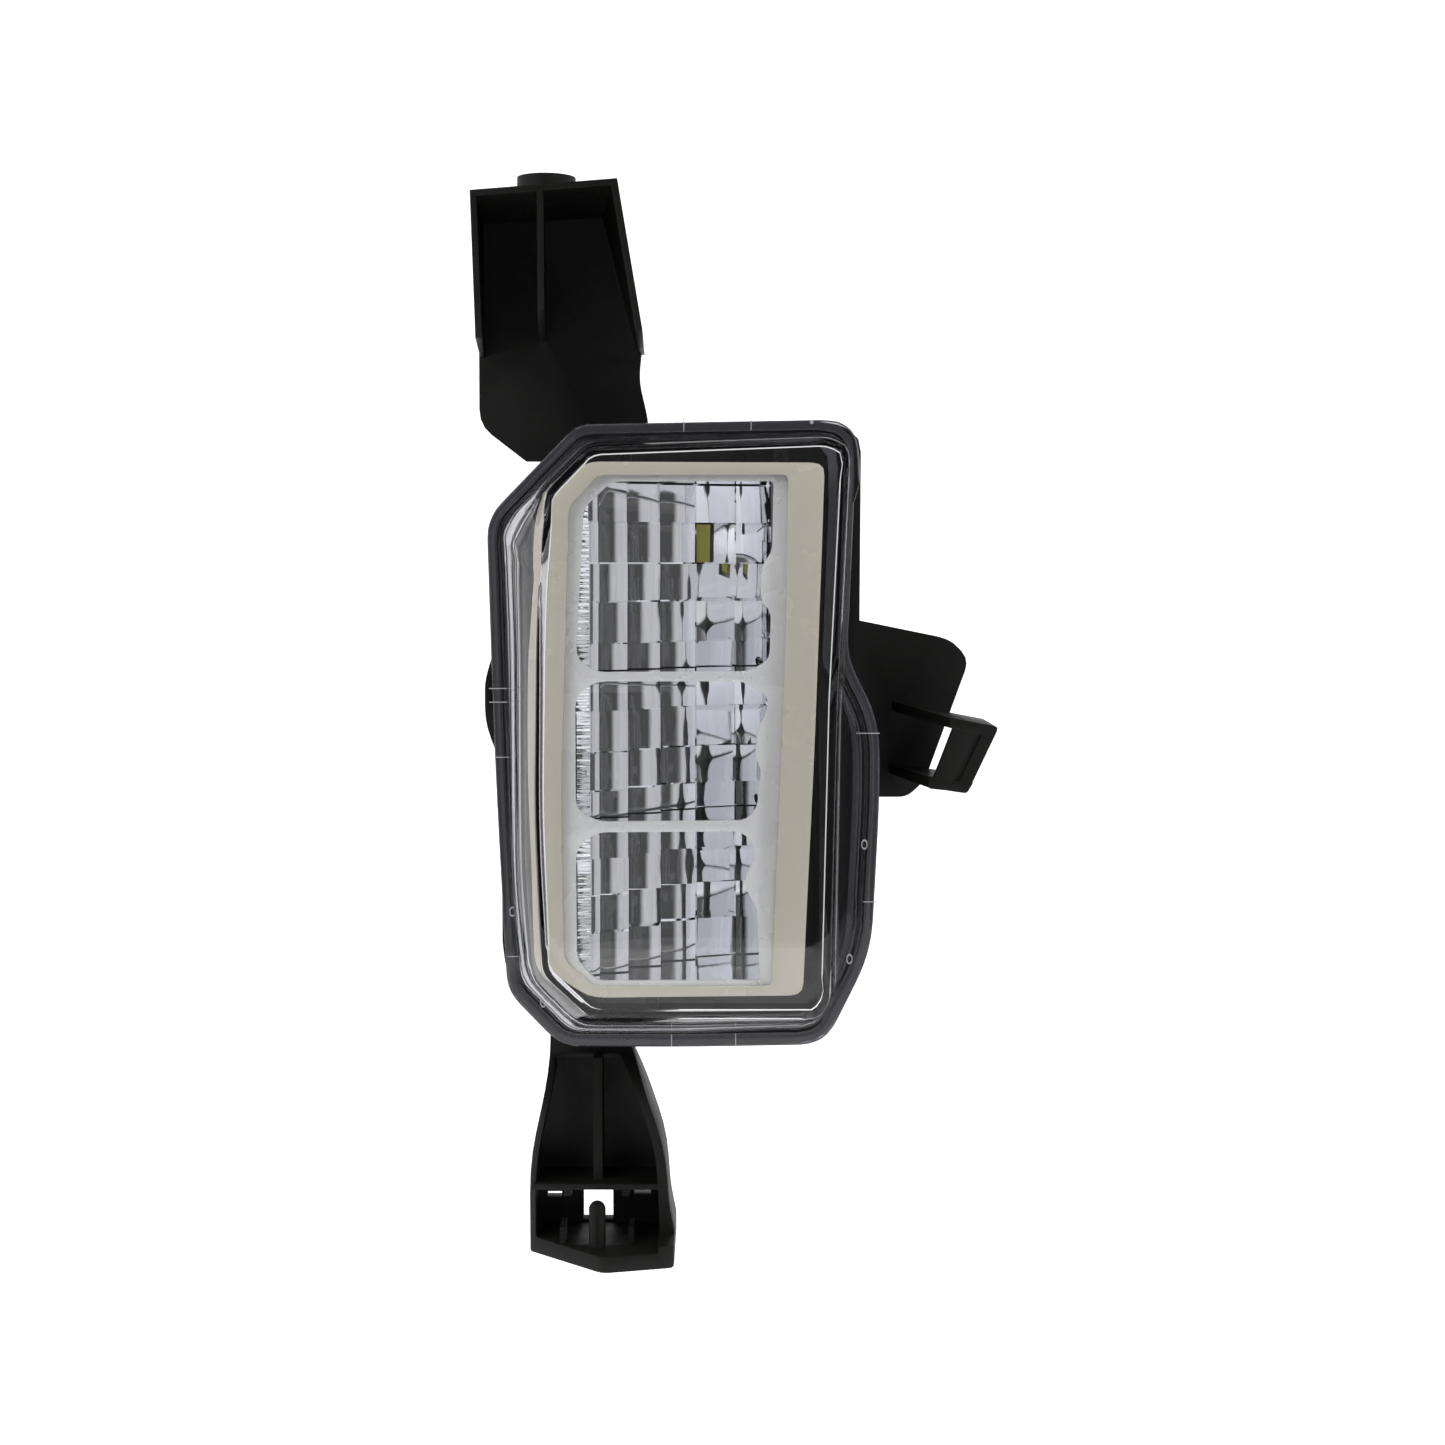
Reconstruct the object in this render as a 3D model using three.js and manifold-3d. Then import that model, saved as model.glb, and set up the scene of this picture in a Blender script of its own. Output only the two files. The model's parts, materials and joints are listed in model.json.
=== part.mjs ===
// Vertical three-cell LED fog light in its tilting mounting bracket.
// Millimetres, +Z up, +X to the right and the lens facing -Y.
import * as THREE from 'three';
import { mergeVertices } from 'three/addons/utils/BufferGeometryUtils.js';
import { ConvexGeometry } from 'three/addons/geometries/ConvexGeometry.js';
import Module from 'manifold-3d';

const wasm = await Module();
wasm.setup();

// ---- driving dimensions -------------------------------------------------

const gap = 0.3;            // air left between two touching pieces
const wall = 2.2;           // housing wall
const lensWall = 1.9;
const lensFront = -16.4;    // front face of the lens
const flangeBack = 3;       // the lens flange runs from 0 to here
const rimBack = 12;         // back of the housing rim
const deckFront = 9.8;      // shelf inside the rim
const housingBack = 49;
const bracketFront = 24;    // the bracket's ring
const bracketBack = 36;
const plateFront = 32.8;    // the plates of the upper and side arms
const pivot = { y: 30, z: 7.3, radius: 3 };
const aim = { x: 2, z: -77, coreRadius: 2.1, threadRadius: 2.6, pitch: 2.5, hole: 3.6 };
const nutSpan = [43.6, 48.4]; // where the nut sits along the aiming screw
const nutPlay = 1;          // the tilt swings the nut through a small arc
const dish = { across: 67, up: 150 }; // curvature of the reflector cells
const ledDepth = 24;        // where the light sits, behind the lens flange
const cellDepth = 39;       // deepest point of a cell
const cellLeft = -35.6;
const cellRight = 11.6;
const cellFront = 1.1;
const cells = {
  upper: { low: 12, high: 58, rows: 5 },
  middle: { low: -24.2, high: 10.2, rows: 4 },
  lower: { low: -63, high: -26, rows: 4 },
};
const facetColumns = 6;
const padTop = { x: -42.6, y: 13.1, z: 131.1, radius: 7.1 };
const footBottom = -132.8;

// ---- solids -------------------------------------------------------------

// Turns a closed three.js geometry into a solid that can be cut and joined.
function solid(geometry) {
  const bare = new THREE.BufferGeometry();
  bare.setAttribute('position', geometry.getAttribute('position'));
  if (geometry.index) bare.setIndex(geometry.index);
  const merged = mergeVertices(bare, 1e-4);
  return new wasm.Manifold(new wasm.Mesh({
    numProp: 3,
    vertProperties: new Float32Array(merged.getAttribute('position').array),
    triVerts: new Uint32Array(merged.index.array),
  }));
}

function join(first, ...rest) {
  return rest.reduce((sum, piece) => sum.add(piece), first);
}

function cut(body, ...tools) {
  return tools.reduce((left, tool) => left.subtract(tool), body);
}

// Closed shape from corners [a, b, cornerRadius].
function roundedShape(corners) {
  const shape = new THREE.Shape();
  const count = corners.length;
  corners.forEach((corner, i) => {
    const here = new THREE.Vector2(corner[0], corner[1]);
    const before = corners[(i + count - 1) % count];
    const after = corners[(i + 1) % count];
    const back = new THREE.Vector2(before[0], before[1]).sub(here);
    const ahead = new THREE.Vector2(after[0], after[1]).sub(here);
    const reach = Math.min(corner[2] || 0, back.length() * 0.45, ahead.length() * 0.45);
    const start = here.clone().addScaledVector(back.normalize(), reach);
    const end = here.clone().addScaledVector(ahead.normalize(), reach);
    if (i === 0) shape.moveTo(start.x, start.y);
    else shape.lineTo(start.x, start.y);
    if (reach > 0) shape.quadraticCurveTo(here.x, here.y, end.x, end.y);
  });
  shape.closePath();
  return shape;
}

function extruded(corners, depth) {
  return new THREE.ExtrudeGeometry(roundedShape(corners), {
    depth,
    bevelEnabled: false,
    curveSegments: 3,
    steps: 1,
  });
}

// Outline in X and Z, running from y0 to y1.
function prism(corners, y0, y1) {
  const geometry = extruded(corners, y1 - y0);
  geometry.rotateX(Math.PI / 2);
  geometry.translate(0, y1, 0);
  return solid(geometry);
}

// Outline in X and Y, running from z0 to z1.
function slab(corners, z0, z1) {
  const geometry = extruded(corners, z1 - z0);
  geometry.translate(0, 0, z0);
  return solid(geometry);
}

// Outline in Y and Z, running from x0 to x1.
function sidePrism(corners, x0, x1) {
  const geometry = extruded(corners, x1 - x0);
  geometry.rotateX(Math.PI / 2);
  geometry.rotateZ(Math.PI / 2);
  geometry.translate(x0, 0, 0);
  return solid(geometry);
}

function box([x0, x1], [y0, y1], [z0, z1]) {
  const geometry = new THREE.BoxGeometry(x1 - x0, y1 - y0, z1 - z0);
  geometry.translate((x0 + x1) / 2, (y0 + y1) / 2, (z0 + z1) / 2);
  return solid(geometry);
}

// Round bar along X, Y or Z from `from` to `to`.
function rod(axis, [a, b], radius, from, to, sides = 24) {
  const geometry = new THREE.CylinderGeometry(radius, radius, to - from, sides);
  const middle = (from + to) / 2;
  if (axis === 'x') geometry.rotateZ(-Math.PI / 2).translate(middle, a, b);
  if (axis === 'y') geometry.translate(a, middle, b);
  if (axis === 'z') geometry.rotateX(Math.PI / 2).translate(a, b, middle);
  return solid(geometry);
}

// Straight-sided blend from one convex outline to another, both in X and Z.
function blend(frontCorners, yFront, backCorners, yBack) {
  const points = frontCorners.map(([x, z]) => new THREE.Vector3(x, yFront, z));
  backCorners.forEach(([x, z]) => points.push(new THREE.Vector3(x, yBack, z)));
  return solid(new ConvexGeometry(points));
}

// Outline moved inwards by a distance; corners run clockwise seen from -Y.
function inset(corners, distance) {
  const count = corners.length;
  return corners.map((corner, i) => {
    const before = corners[(i + count - 1) % count];
    const after = corners[(i + 1) % count];
    const inDirection = new THREE.Vector2(corner[0] - before[0], corner[1] - before[1]).normalize();
    const outDirection = new THREE.Vector2(after[0] - corner[0], after[1] - corner[1]).normalize();
    const normalSum = new THREE.Vector2(
      inDirection.y + outDirection.y,
      -inDirection.x - outDirection.x,
    );
    const scale = 2 / normalSum.lengthSq();
    return [
      corner[0] + normalSum.x * distance * scale,
      corner[1] + normalSum.y * distance * scale,
      Math.max((corner[2] || 0) - distance * 0.5, 0.4),
    ];
  });
}

// Flat ring between an outline and the same outline moved inwards.
function ring(corners, outer, inner, y0, y1) {
  return cut(
    prism(inset(corners, outer), y0, y1),
    prism(inset(corners, inner), y0 - 1, y1 + 1),
  );
}

// ---- outlines -----------------------------------------------------------

// Edge of the lens flange, clockwise from the top left.
const flange = [
  [-34.6, 71.2, 3],
  [32.2, 72.4, 9],
  [33, 54.9, 0.4],
  [31.4, 54.7, 0.4],
  [30, 15.5, 5],
  [37.8, 0.5, 9],
  [38, -18, 12],
  [36.2, -56, 8],
  [25, -78.8, 6],
  [-8, -79.4, 10],
  [-39.4, -79.3, 5],
  [-52.4, -65.6, 4],
  [-55, -8, 20],
  [-56.4, 49, 5],
];
// The rim and the sealing groove follow the flange without its small step.
const rimOutline = flange.filter((corner) => corner[2] !== 0.4);

const domeBase = [
  [-32.8, 67.4],
  [26.5, 68.8],
  [30.6, 65],
  [28.2, 0],
  [27.3, -66],
  [22.5, -74],
  [-8, -75.2],
  [-37, -75.2],
  [-48.8, -63],
  [-51, -40],
  [-51.4, 20],
  [-52.3, 46],
  [-49.8, 50.3],
];
const domeFront = [
  [-30.7, 65.1],
  [24.3, 67.2],
  [28.6, 65.3],
  [29.4, 62.5],
  [26.8, 6.5],
  [25.3, -64.6],
  [22.7, -68.7],
  [-31.2, -68.7],
  [-42.6, -58],
  [-44, -18.7],
  [-43.2, 24.2],
  [-41.1, 54.4],
];
const housingBody = [
  [-38, 62.5, 4],
  [25.5, 62.5, 4],
  [25.5, -68.2, 4],
  [-36, -68.2, 4],
  [-47.5, -57, 4],
  [-47.5, 52, 4],
];
const bezelOutline = [
  [-32, 61.9, 3],
  [24.2, 61.9, 3],
  [21.9, -5.9, 4],
  [19.4, -65.7, 3],
  [-31.5, -66.2, 3],
  [-42.6, -58.8, 3],
  [-44.5, 3.5, 10],
  [-42.2, 51.8, 3],
];
const bezelWindow = [
  [-29.4, 59, 1.5],
  [15.6, 59.1, 1.5],
  [15, 17, 6],
  [11.9, -63.6, 1.5],
  [-31, -63.8, 2],
  [-38.2, -57.4, 2],
  [-38.8, -20, 6],
  [-36.5, 51.6, 2],
];
// Each window steps inwards at the right, over the light of its cell.
const cellWindows = [
  [[-26.4, 57.6, 2], [12.2, 57.7, 1], [11.9, 41.3, 1.5], [9.3, 37.2, 1.5], [9.1, 29.5, 1.5],
    [11.6, 26.6, 1.5], [11.3, 15.2, 2], [6.3, 12.4, 2], [-30.6, 12.2, 3], [-35.2, 15.6, 3],
    [-33.1, 51.3, 2]],
  [[-35.4, 6.2, 3], [-30.6, 10, 3], [5, 10, 2], [11, 6.4, 2], [10.6, 2.5, 1.5], [8.4, -1.6, 1.5],
    [7.8, -7.9, 1.5], [9.3, -11.1, 1.5], [8.3, -20.6, 2], [5.6, -23.6, 2], [-30.2, -23.9, 3],
    [-35.4, -21, 3]],
  [[-30.7, -26.4, 3], [4.5, -26.2, 2], [7.6, -29, 2], [7.8, -33, 1.5], [5.6, -36.7, 1.5],
    [5.7, -40.4, 1.5], [8.3, -44.6, 1.5], [9.1, -62.6, 1], [-30.6, -62.8, 2], [-35.3, -57.6, 2],
    [-35.4, -30.5, 3]],
];

// ---- bracket ------------------------------------------------------------

const ringOutline = [
  [-37, 71.8, 4],
  [34.6, 71.8, 6],
  [34.2, -60, 8],
  [20, -84, 8],
  [-40, -84, 8],
  [-56, -66, 8],
  [-56, 50, 4],
];

function pivotLobe() {
  return prism([
    [-57.4, 14.4, 4],
    [-55, 21.5, 3],
    [-50.4, 21.5, 1],
    [-50.4, -10.5, 1],
    [-55.6, -10.5, 3],
    [-59, -1.5, 4],
    [-59, 9, 4],
  ].reverse(), 16, bracketBack);
}

function upperArm() {
  const front = [[-59.1, 125.2], [-24.6, 127.9], [-18.8, 93], [-58.1, 91]];
  const back = [[-61.6, 124.6], [-28.8, 126.4], [-19.8, 91], [-61.6, 90]];
  const pocketFront = [[-57.5, 123.8], [-26, 126.3], [-19.3, 86], [-56.3, 86]];
  const pocketBack = [[-60.2, 123.2], [-30.2, 124.8], [-20.3, 86], [-60.2, 86]];
  const shell = cut(
    blend(front, -4.4, back, bracketBack),
    blend(pocketFront, -5.4, pocketBack, plateFront),
  );
  const plate = prism([
    [-61.6, 95, 0],
    [-20.2, 95, 0],
    [-21.2, 84.5, 3],
    [-18.8, 74, 3],
    [-18.8, 64, 0],
    [-50, 64, 0],
    [-61.7, 73, 4],
  ], plateFront, bracketBack);
  const rib = blend(
    [[-43.4, 125.6], [-41.9, 125.6], [-41.9, 97.5], [-43.4, 97.5]], -4.4,
    [[-46.4, 124.6], [-44.7, 124.6], [-44.7, 94], [-46.4, 94]], plateFront + 0.5,
  );
  const pad = rod('z', [padTop.x, padTop.y], padTop.radius, 125.4, padTop.z, 40);
  return join(shell, plate, rib, pad);
}

function sideArm() {
  const plate = prism([
    [31, 24.4, 0],
    [58.4, 18.8, 3],
    [63.2, 13.6, 3],
    [52, -17.6, 2],
    [47.5, -21.8, 2],
    [31, -21.8, 0],
  ], plateFront, bracketBack);
  const upperShelf = prism([
    [43.5, 2.9, 0],
    [67.6, -1.8, 0.8],
    [66.6, -4.2, 0],
    [43, 0.5, 0],
  ], 8.7, plateFront + 0.5).intersect(slab([
    [43, plateFront + 1, 0],
    [56, 8, 0],
    [68, 8, 0],
    [68, plateFront + 1, 0],
  ], -10, 10));
  const lowerShelf = prism([
    [42.8, -13.2, 0],
    [61.5, -15.6, 0],
    [60, -18.2, 0.8],
    [42.8, -15.6, 0],
  ], 8.7, plateFront + 0.5).intersect(slab([
    [42, plateFront + 1, 0],
    [51, 8, 0],
    [62, 8, 0],
    [62, plateFront + 1, 0],
  ], -20, -10));
  const bar = prism([
    [56.6, -1.9, 0],
    [67.6, -2.1, 1],
    [60.2, -18, 1],
    [50.9, -17, 0],
  ], 8.7, 11.3);
  const groove = prism([
    [62.2, -3.6, 0],
    [63.6, -3.6, 0],
    [58.2, -15.2, 0],
    [56.8, -15.2, 0],
  ], 8, 9.4);
  return join(plate, upperShelf, lowerShelf, cut(bar, groove));
}

function lowerArm() {
  const outline = [
    [-43.3, -80, 0],
    [-24.2, -80, 0],
    [-19.6, -90.1, 5],
    [-14.2, -106, 8],
    [-13.2, -120, 3],
    [-11.8, -127, 1],
    [-11.8, footBottom, 0.6],
    [-47.9, footBottom, 0.6],
    [-47.9, -110, 8],
    [-43.4, -90, 6],
  ];
  const pocket = [
    [-41.9, -84.5, 1],
    [-25.7, -84.5, 1],
    [-21.6, -91, 5],
    [-16.4, -106, 8],
    [-15.4, -128.9, 1],
    [-46.4, -128.9, 1],
    [-46.4, -110, 8],
    [-41.9, -90, 6],
  ];
  const sideProfile = [
    [22, -80, 0],
    [16.5, -80, 0],
    [15.3, -84, 1],
    [4.4, -92, 4],
    [4.4, -127, 0],
    [-9, -127.6, 0],
    [-9, footBottom - 1, 0],
    [22, footBottom - 1, 0],
  ];
  const shell = cut(
    prism(outline, -9, 22).intersect(sidePrism(sideProfile, -60, 0)),
    prism(pocket, -10, 18.6),
  ).intersect(slab([
    [-49, 23, 0],
    [-49, 8.2, 0],
    [-47.9, 7.6, 1],
    [-29, -8.7, 2],
    [-11.5, -4.6, 2],
    [-11.5, 23, 0],
  ], -140, -70));
  const neck = box([-43.3, -24.2], [16.6, 26], [-86, -76]);
  const crossWall = box([-47, -14.5], [4.4, 19], [-116.2, -114.8]);
  const middleRib = box([-32.1, -29.9], [8, 19], [-115, -84]);
  const post = join(
    rod('z', [-30.7, 0], 2.05, -130, -119.2, 20),
    solid(new THREE.SphereGeometry(2.05, 20, 10).translate(-30.7, 0, -119.6)),
  );
  const footRibs = [-39.4, -22.5].map((x) => box([x - 0.6, x + 0.6], [1, 9], [-130, -124.6]));
  const hooks = [-38.4, -24].map((x) => box([x - 0.9, x + 0.9], [5, 8], [-118, -116]));
  return cut(
    join(shell, neck, crossWall, middleRib, post, ...footRibs, ...hooks),
    box([-44.6, -40.8], [17, 24], [-122.5, -121]),
    box([-22.5, -18.2], [17, 24], [-121.7, -120.2]),
    box([-35.4, -27.8], [17, 24], [-128.2, -120.4]),
  );
}

function mountingBracket() {
  const frame = cut(
    prism(ringOutline, bracketFront, bracketBack),
    prism([
      [-50, 52.5, 3],
      [-38, 66, 3],
      [28, 66, 3],
      [28, -72, 3],
      [-37, -72, 3],
      [-50, -60, 3],
    ], bracketFront - 1, bracketBack + 1),
  );
  // The ring is lightened by a groove round its back.
  const lightened = cut(
    frame,
    box([-35, -22], [20, 32], [67.6, 70.2]),
    box([-14, 26], [27, 40], [67.6, 70.2]),
    box([-30, -8], [27, 40], [-82, -74]),
    box([12, 20], [27, 40], [-82, -74]),
    box([30, 32.4], [27, 40], [30, 62]),
    box([-54.2, -52], [27, 40], [24, 46]),
    box([-54.2, -52], [27, 40], [-58, -16]),
  );
  return cut(
    join(lightened, pivotLobe(), upperArm(), sideArm(), lowerArm()),
    box([-57.4, -56.2], [10, 40], [3.6, 11]),
    rod('x', [pivot.y, pivot.z], pivot.radius + 1.9, -55.4, -49),
    rod('x', [pivot.y, pivot.z], pivot.radius + 1.9, 27, 33.4),
    rod('y', [aim.x, aim.z], aim.hole, 20, 40),
  );
}

function pivotBush(x0, x1, collarEnd) {
  const collar = collarEnd < x0 ? [collarEnd, x0] : [x1, collarEnd];
  return cut(
    join(
      rod('x', [pivot.y, pivot.z], pivot.radius + 1.6, x0, x1),
      rod('x', [pivot.y, pivot.z], pivot.radius + 3, collar[0], collar[1]),
    ),
    rod('x', [pivot.y, pivot.z], pivot.radius + 0.3, x0 - 3, x1 + 3),
  );
}

// ---- lamp shell ---------------------------------------------------------

function scaledOutline(corners, margin) {
  const centre = [-10, -3];
  const reach = [40, 70];
  return corners.map(([x, z]) => [
    centre[0] + (x - centre[0]) * (1 - margin / reach[0]),
    centre[1] + (z - centre[1]) * (1 - margin / reach[1]),
  ]);
}

function lens() {
  const plate = prism(flange, 0, flangeBack);
  const edge = scaledOutline(domeFront, 0.9);
  const dome = solid(new ConvexGeometry([
    ...domeBase.map(([x, z]) => new THREE.Vector3(x, 1, z)),
    ...domeFront.map(([x, z]) => new THREE.Vector3(x, lensFront + 0.9, z)),
    ...edge.map(([x, z]) => new THREE.Vector3(x, lensFront, z)),
  ]));
  const hollow = blend(
    scaledOutline(domeFront, lensWall), lensFront + lensWall,
    scaledOutline(domeBase, lensWall), 4,
  );
  const skirt = ring(rimOutline, 2.3, 4.2, flangeBack - 0.5, 7.6);
  return join(cut(join(plate, dome), hollow), skirt);
}

function lensSeal() {
  return ring(rimOutline, 2.3, 4.2, 7.9, 9.2);
}

const rearBosses = [[-1, 45.5], [9, 45.5], [-1, -47.5], [9, -47.5]];
const bezelPosts = [[-31, -69.2], [-17.4, -69.2], [14, 63.65]];
const reflectorPosts = [[-24, 62.7], [4, 62.7], [0, -69]];
const boardPosts = [[-40, -18], [-16, -58]];
const connector = { x: -30, z: -40 };
const connectorPosts = [-12, 12].map((side) => [connector.x + side, connector.z]);
const vent = { x: -28, z: 34, radius: 5 };

function housing() {
  const rim = cut(
    prism(inset(rimOutline, 0.3), flangeBack + gap, rimBack),
    ring(rimOutline, 2, 4.5, 2, 9.5),
    prism(inset(rimOutline, 6.2), 2, deckFront),
  );
  const body = cut(
    join(rim, prism(housingBody, rimBack - 1.5, housingBack)),
    prism(inset(housingBody, wall), 2, housingBack - wall),
  );
  const posts = [
    ...rearBosses.map((place) => rod('y', place, 3.2, 43.4, housingBack - 1, 16)),
    ...bezelPosts.map((place) => rod('y', place, 1.75, 4.8, rimBack + 4, 12)),
    ...reflectorPosts.map((place) => rod('y', place, 2.2, deckFront, rimBack + 4, 12)),
    ...boardPosts.map((place) => rod('y', place, 2.6, 43.9, housingBack - 1, 16)),
    ...connectorPosts.map((place) => rod('y', place, 2.9, 43.9, housingBack - 1, 16)),
  ];
  const trunnions = [
    rod('x', [pivot.y, pivot.z], pivot.radius, -54.8, -46),
    rod('x', [pivot.y, pivot.z], pivot.radius, 24.5, 32.8),
    rod('x', [pivot.y, pivot.z], 6, -48, -46),
    rod('x', [pivot.y, pivot.z], 6, 24.5, 26),
  ];
  const nutBoss = box([aim.x - 6.5, aim.x + 6.5], [42.3, nutSpan[1]], [aim.z - 5.6, -67]);
  const holes = [
    ...rearBosses.map((place) => rod('y', place, 1.6, 44.4, housingBack + 1, 16)),
    ...bezelPosts.map((place) => rod('y', place, 1.2, 4, rimBack + 3, 12)),
    ...reflectorPosts.map((place) => rod('y', place, 1.2, 4, rimBack + 3, 12)),
    ...boardPosts.map((place) => rod('y', place, 1.2, 43, housingBack - 1.6, 12)),
    ...connectorPosts.map((place) => rod('y', place, 1.6, 44.9, housingBack + 1, 16)),
    box([14.4, 21.8], [40, 55], [-42.6, 40.6]),
    box([connector.x - 8.8, connector.x + 8.8], [40, 55], [connector.z - 6.3, connector.z + 6.3]),
    rod('y', [vent.x, vent.z], vent.radius, 40, 55),
    box([aim.x - 4.9, aim.x + 4.9], [nutSpan[0] - gap, 52], [aim.z - 4.3, aim.z + 4.3]),
    rod('y', [aim.x, aim.z], aim.threadRadius + 1.2, 40, 50, 16),
  ];
  return cut(join(body, ...posts, ...trunnions, nutBoss), ...holes);
}

// ---- optics -------------------------------------------------------------

function bezel() {
  const face = cut(
    prism(bezelOutline, -3.3, -1.4),
    prism(bezelWindow, -5, 0),
  );
  const skirt = ring(bezelOutline, 0, 1.5, -3.3, 4.5);
  const ears = bezelPosts.map(([x, z]) => {
    const inward = Math.sign(z) * -5;
    return join(
      rod('y', [x, z], 1.75, 2.5, 4.5, 16),
      box([x - 1.75, x + 1.75], [2.5, 4.5], [Math.min(z, z + inward), Math.max(z, z + inward)]),
    ).subtract(prism(inset(bezelOutline, 1), 0, 5));
  });
  const holes = bezelPosts.map((place) => rod('y', place, 1.2, 0, 6, 12));
  return cut(join(face, skirt, ...ears), ...holes);
}

function innerFrame() {
  const plate = prism(inset(bezelWindow, -1.6), -1.1, 0.8)
    .intersect(prism(inset(bezelOutline, 1.8), -2, 2));
  return cut(plate, ...cellWindows.map((window) => prism(window, -3, 3)));
}

// Depth of a cell's mirror at a point, before its facets.
function mirrorDepth(x, z, middle) {
  return cellDepth - (x - cellRight) ** 2 / dish.across - (z - middle) ** 2 / dish.up;
}

// Space in front of one cell's mirror: every facet bulges forward a little.
function cellSpace({ low, high, rows }) {
  const middle = (low + high) / 2;
  const geometry = new THREE.BoxGeometry(
    cellRight - cellLeft, 10, high - low, facetColumns * 2, 1, rows * 2,
  );
  geometry.translate((cellLeft + cellRight) / 2, 0, middle);
  const position = geometry.getAttribute('position');
  const column = (cellRight - cellLeft) / facetColumns;
  const row = (high - low) / rows;
  for (let i = 0; i < position.count; i += 1) {
    const x = position.getX(i);
    const z = position.getZ(i);
    if (position.getY(i) > 0) {
      const alongX = Math.sin(Math.PI * (x - cellLeft) / column) ** 2;
      const alongZ = Math.sin(Math.PI * (z - low) / row) ** 2;
      const bulge = 0.3 * (alongX + alongZ);
      position.setY(i, Math.max(mirrorDepth(x, z, middle) - bulge, cellFront + 0.9));
    } else {
      position.setY(i, cellFront - 1);
    }
  }
  return solid(geometry);
}

// Everything behind the shell of one cell.
function cellBack({ low, high }) {
  const middle = (low + high) / 2;
  const geometry = new THREE.BoxGeometry(
    cellRight - cellLeft + 12, 40, high - low + 1.8, 8, 1, 6,
  );
  geometry.translate((cellLeft + cellRight) / 2, 60, middle);
  const position = geometry.getAttribute('position');
  for (let i = 0; i < position.count; i += 1) {
    if (position.getY(i) > 60) continue;
    const x = position.getX(i);
    const z = position.getZ(i);
    const slope = Math.hypot(2 * (x - cellRight) / dish.across, 2 * (z - middle) / dish.up);
    const shell = 1.9 * Math.hypot(1, slope);
    position.setY(i, Math.max(mirrorDepth(x, z, middle) + shell, cellFront + 3.6));
  }
  return solid(geometry);
}

const cellList = Object.values(cells);
const ledHeights = cellList.map(({ low, high }) => (low + high) / 2);

function reflector() {
  const block = box([cellLeft - 1.6, cellRight + 1.6], [cellFront, 48], [-64.4, 59.4])
    .intersect(prism(inset(bezelOutline, 1.8), 0, 50));
  const shell = cut(block, ...cellList.map(cellSpace), ...cellList.map(cellBack));
  const beyond = [
    box([-60, 40], [30, 60], [-66, -63.9]),
    box([-60, 40], [30, 60], [58.9, 61]),
  ];
  const windows = ledHeights.map((z) => box(
    [cellRight - 0.5, cellRight + 3],
    [ledDepth - 3.5, ledDepth + 3.5],
    [z - 3.5, z + 3.5],
  ));
  const screwRooms = ledBoardPosts.map((z) => rod('x', [32, z], 2.4, cellRight - 0.4, 14, 16));
  const ears = reflectorPosts.map(([x, z]) => {
    const root = z > 0 ? 58.7 : -63.7;
    return cut(
      join(
        rod('y', [x, z], 2, 7.5, 9.5, 16),
        box([x - 2, x + 2], [7.5, 9.5], [Math.min(z, root), Math.max(z, root)]),
      ),
      rod('y', [x, z], 1.2, 6, 12, 12),
    );
  });
  return join(cut(shell, ...beyond, ...windows, ...screwRooms), ...ears);
}

function ledPackage(z) {
  return join(
    box([cellRight + 1, cellRight + 1.8], [ledDepth - 2.4, ledDepth + 2.4], [z - 2.4, z + 2.4]),
    box([cellRight + 0.5, cellRight + 1.1], [ledDepth - 1.6, ledDepth + 1.6], [z - 1.6, z + 1.6]),
  );
}

const boardFace = cellRight + 2.1;
const ledBoardPosts = [11.1, -25.1];

function ledBoard() {
  return cut(
    box([boardFace, boardFace + 1.6], [12, 44], [-61, 55]),
    ...ledBoardPosts.map((z) => rod('x', [32, z], 1.6, boardFace - 1, boardFace + 3, 12)),
  );
}

function thermalPad() {
  return cut(
    box([boardFace + 1.9, boardFace + 2.4], [12.6, 43.4], [-60.4, 54.4]),
    ...ledBoardPosts.map((z) => rod('x', [32, z], 2, boardFace + 1, boardFace + 4, 12)),
  );
}

function heatSink() {
  const plate = box([boardFace + 2.7, boardFace + 6], [12, 46], [-61, 55]);
  const tail = box([boardFace + 2.7, boardFace + 6], [44, 51], [-41, 39]);
  const back = box([-5, 24], [50.4, 53.4], [-52, 50]);
  const fins = [];
  for (let z = -48; z <= 47; z += 8) {
    fins.push(box([-3.5, 23], [53, 65], [z - 0.8, z + 0.8]));
  }
  return cut(
    join(plate, tail, back, ...fins),
    ...rearBosses.map((place) => rod('y', place, 1.9, 48, 55, 16)),
    ...rearBosses.map((place) => rod('y', place, 3.4, 53.4, 70, 16)),
    ...ledBoardPosts.map((z) => rod('x', [32, z], 1.2, boardFace + 2, boardFace + 5, 12)),
  );
}

function heatSinkGasket() {
  return cut(
    box([-4.4, 23.4], [49.3, 50.1], [-51.4, 49.4]),
    box([14, 22], [48, 52], [-42.6, 40.6]),
    ...rearBosses.map((place) => rod('y', place, 2, 48, 52, 16)),
  );
}

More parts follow.
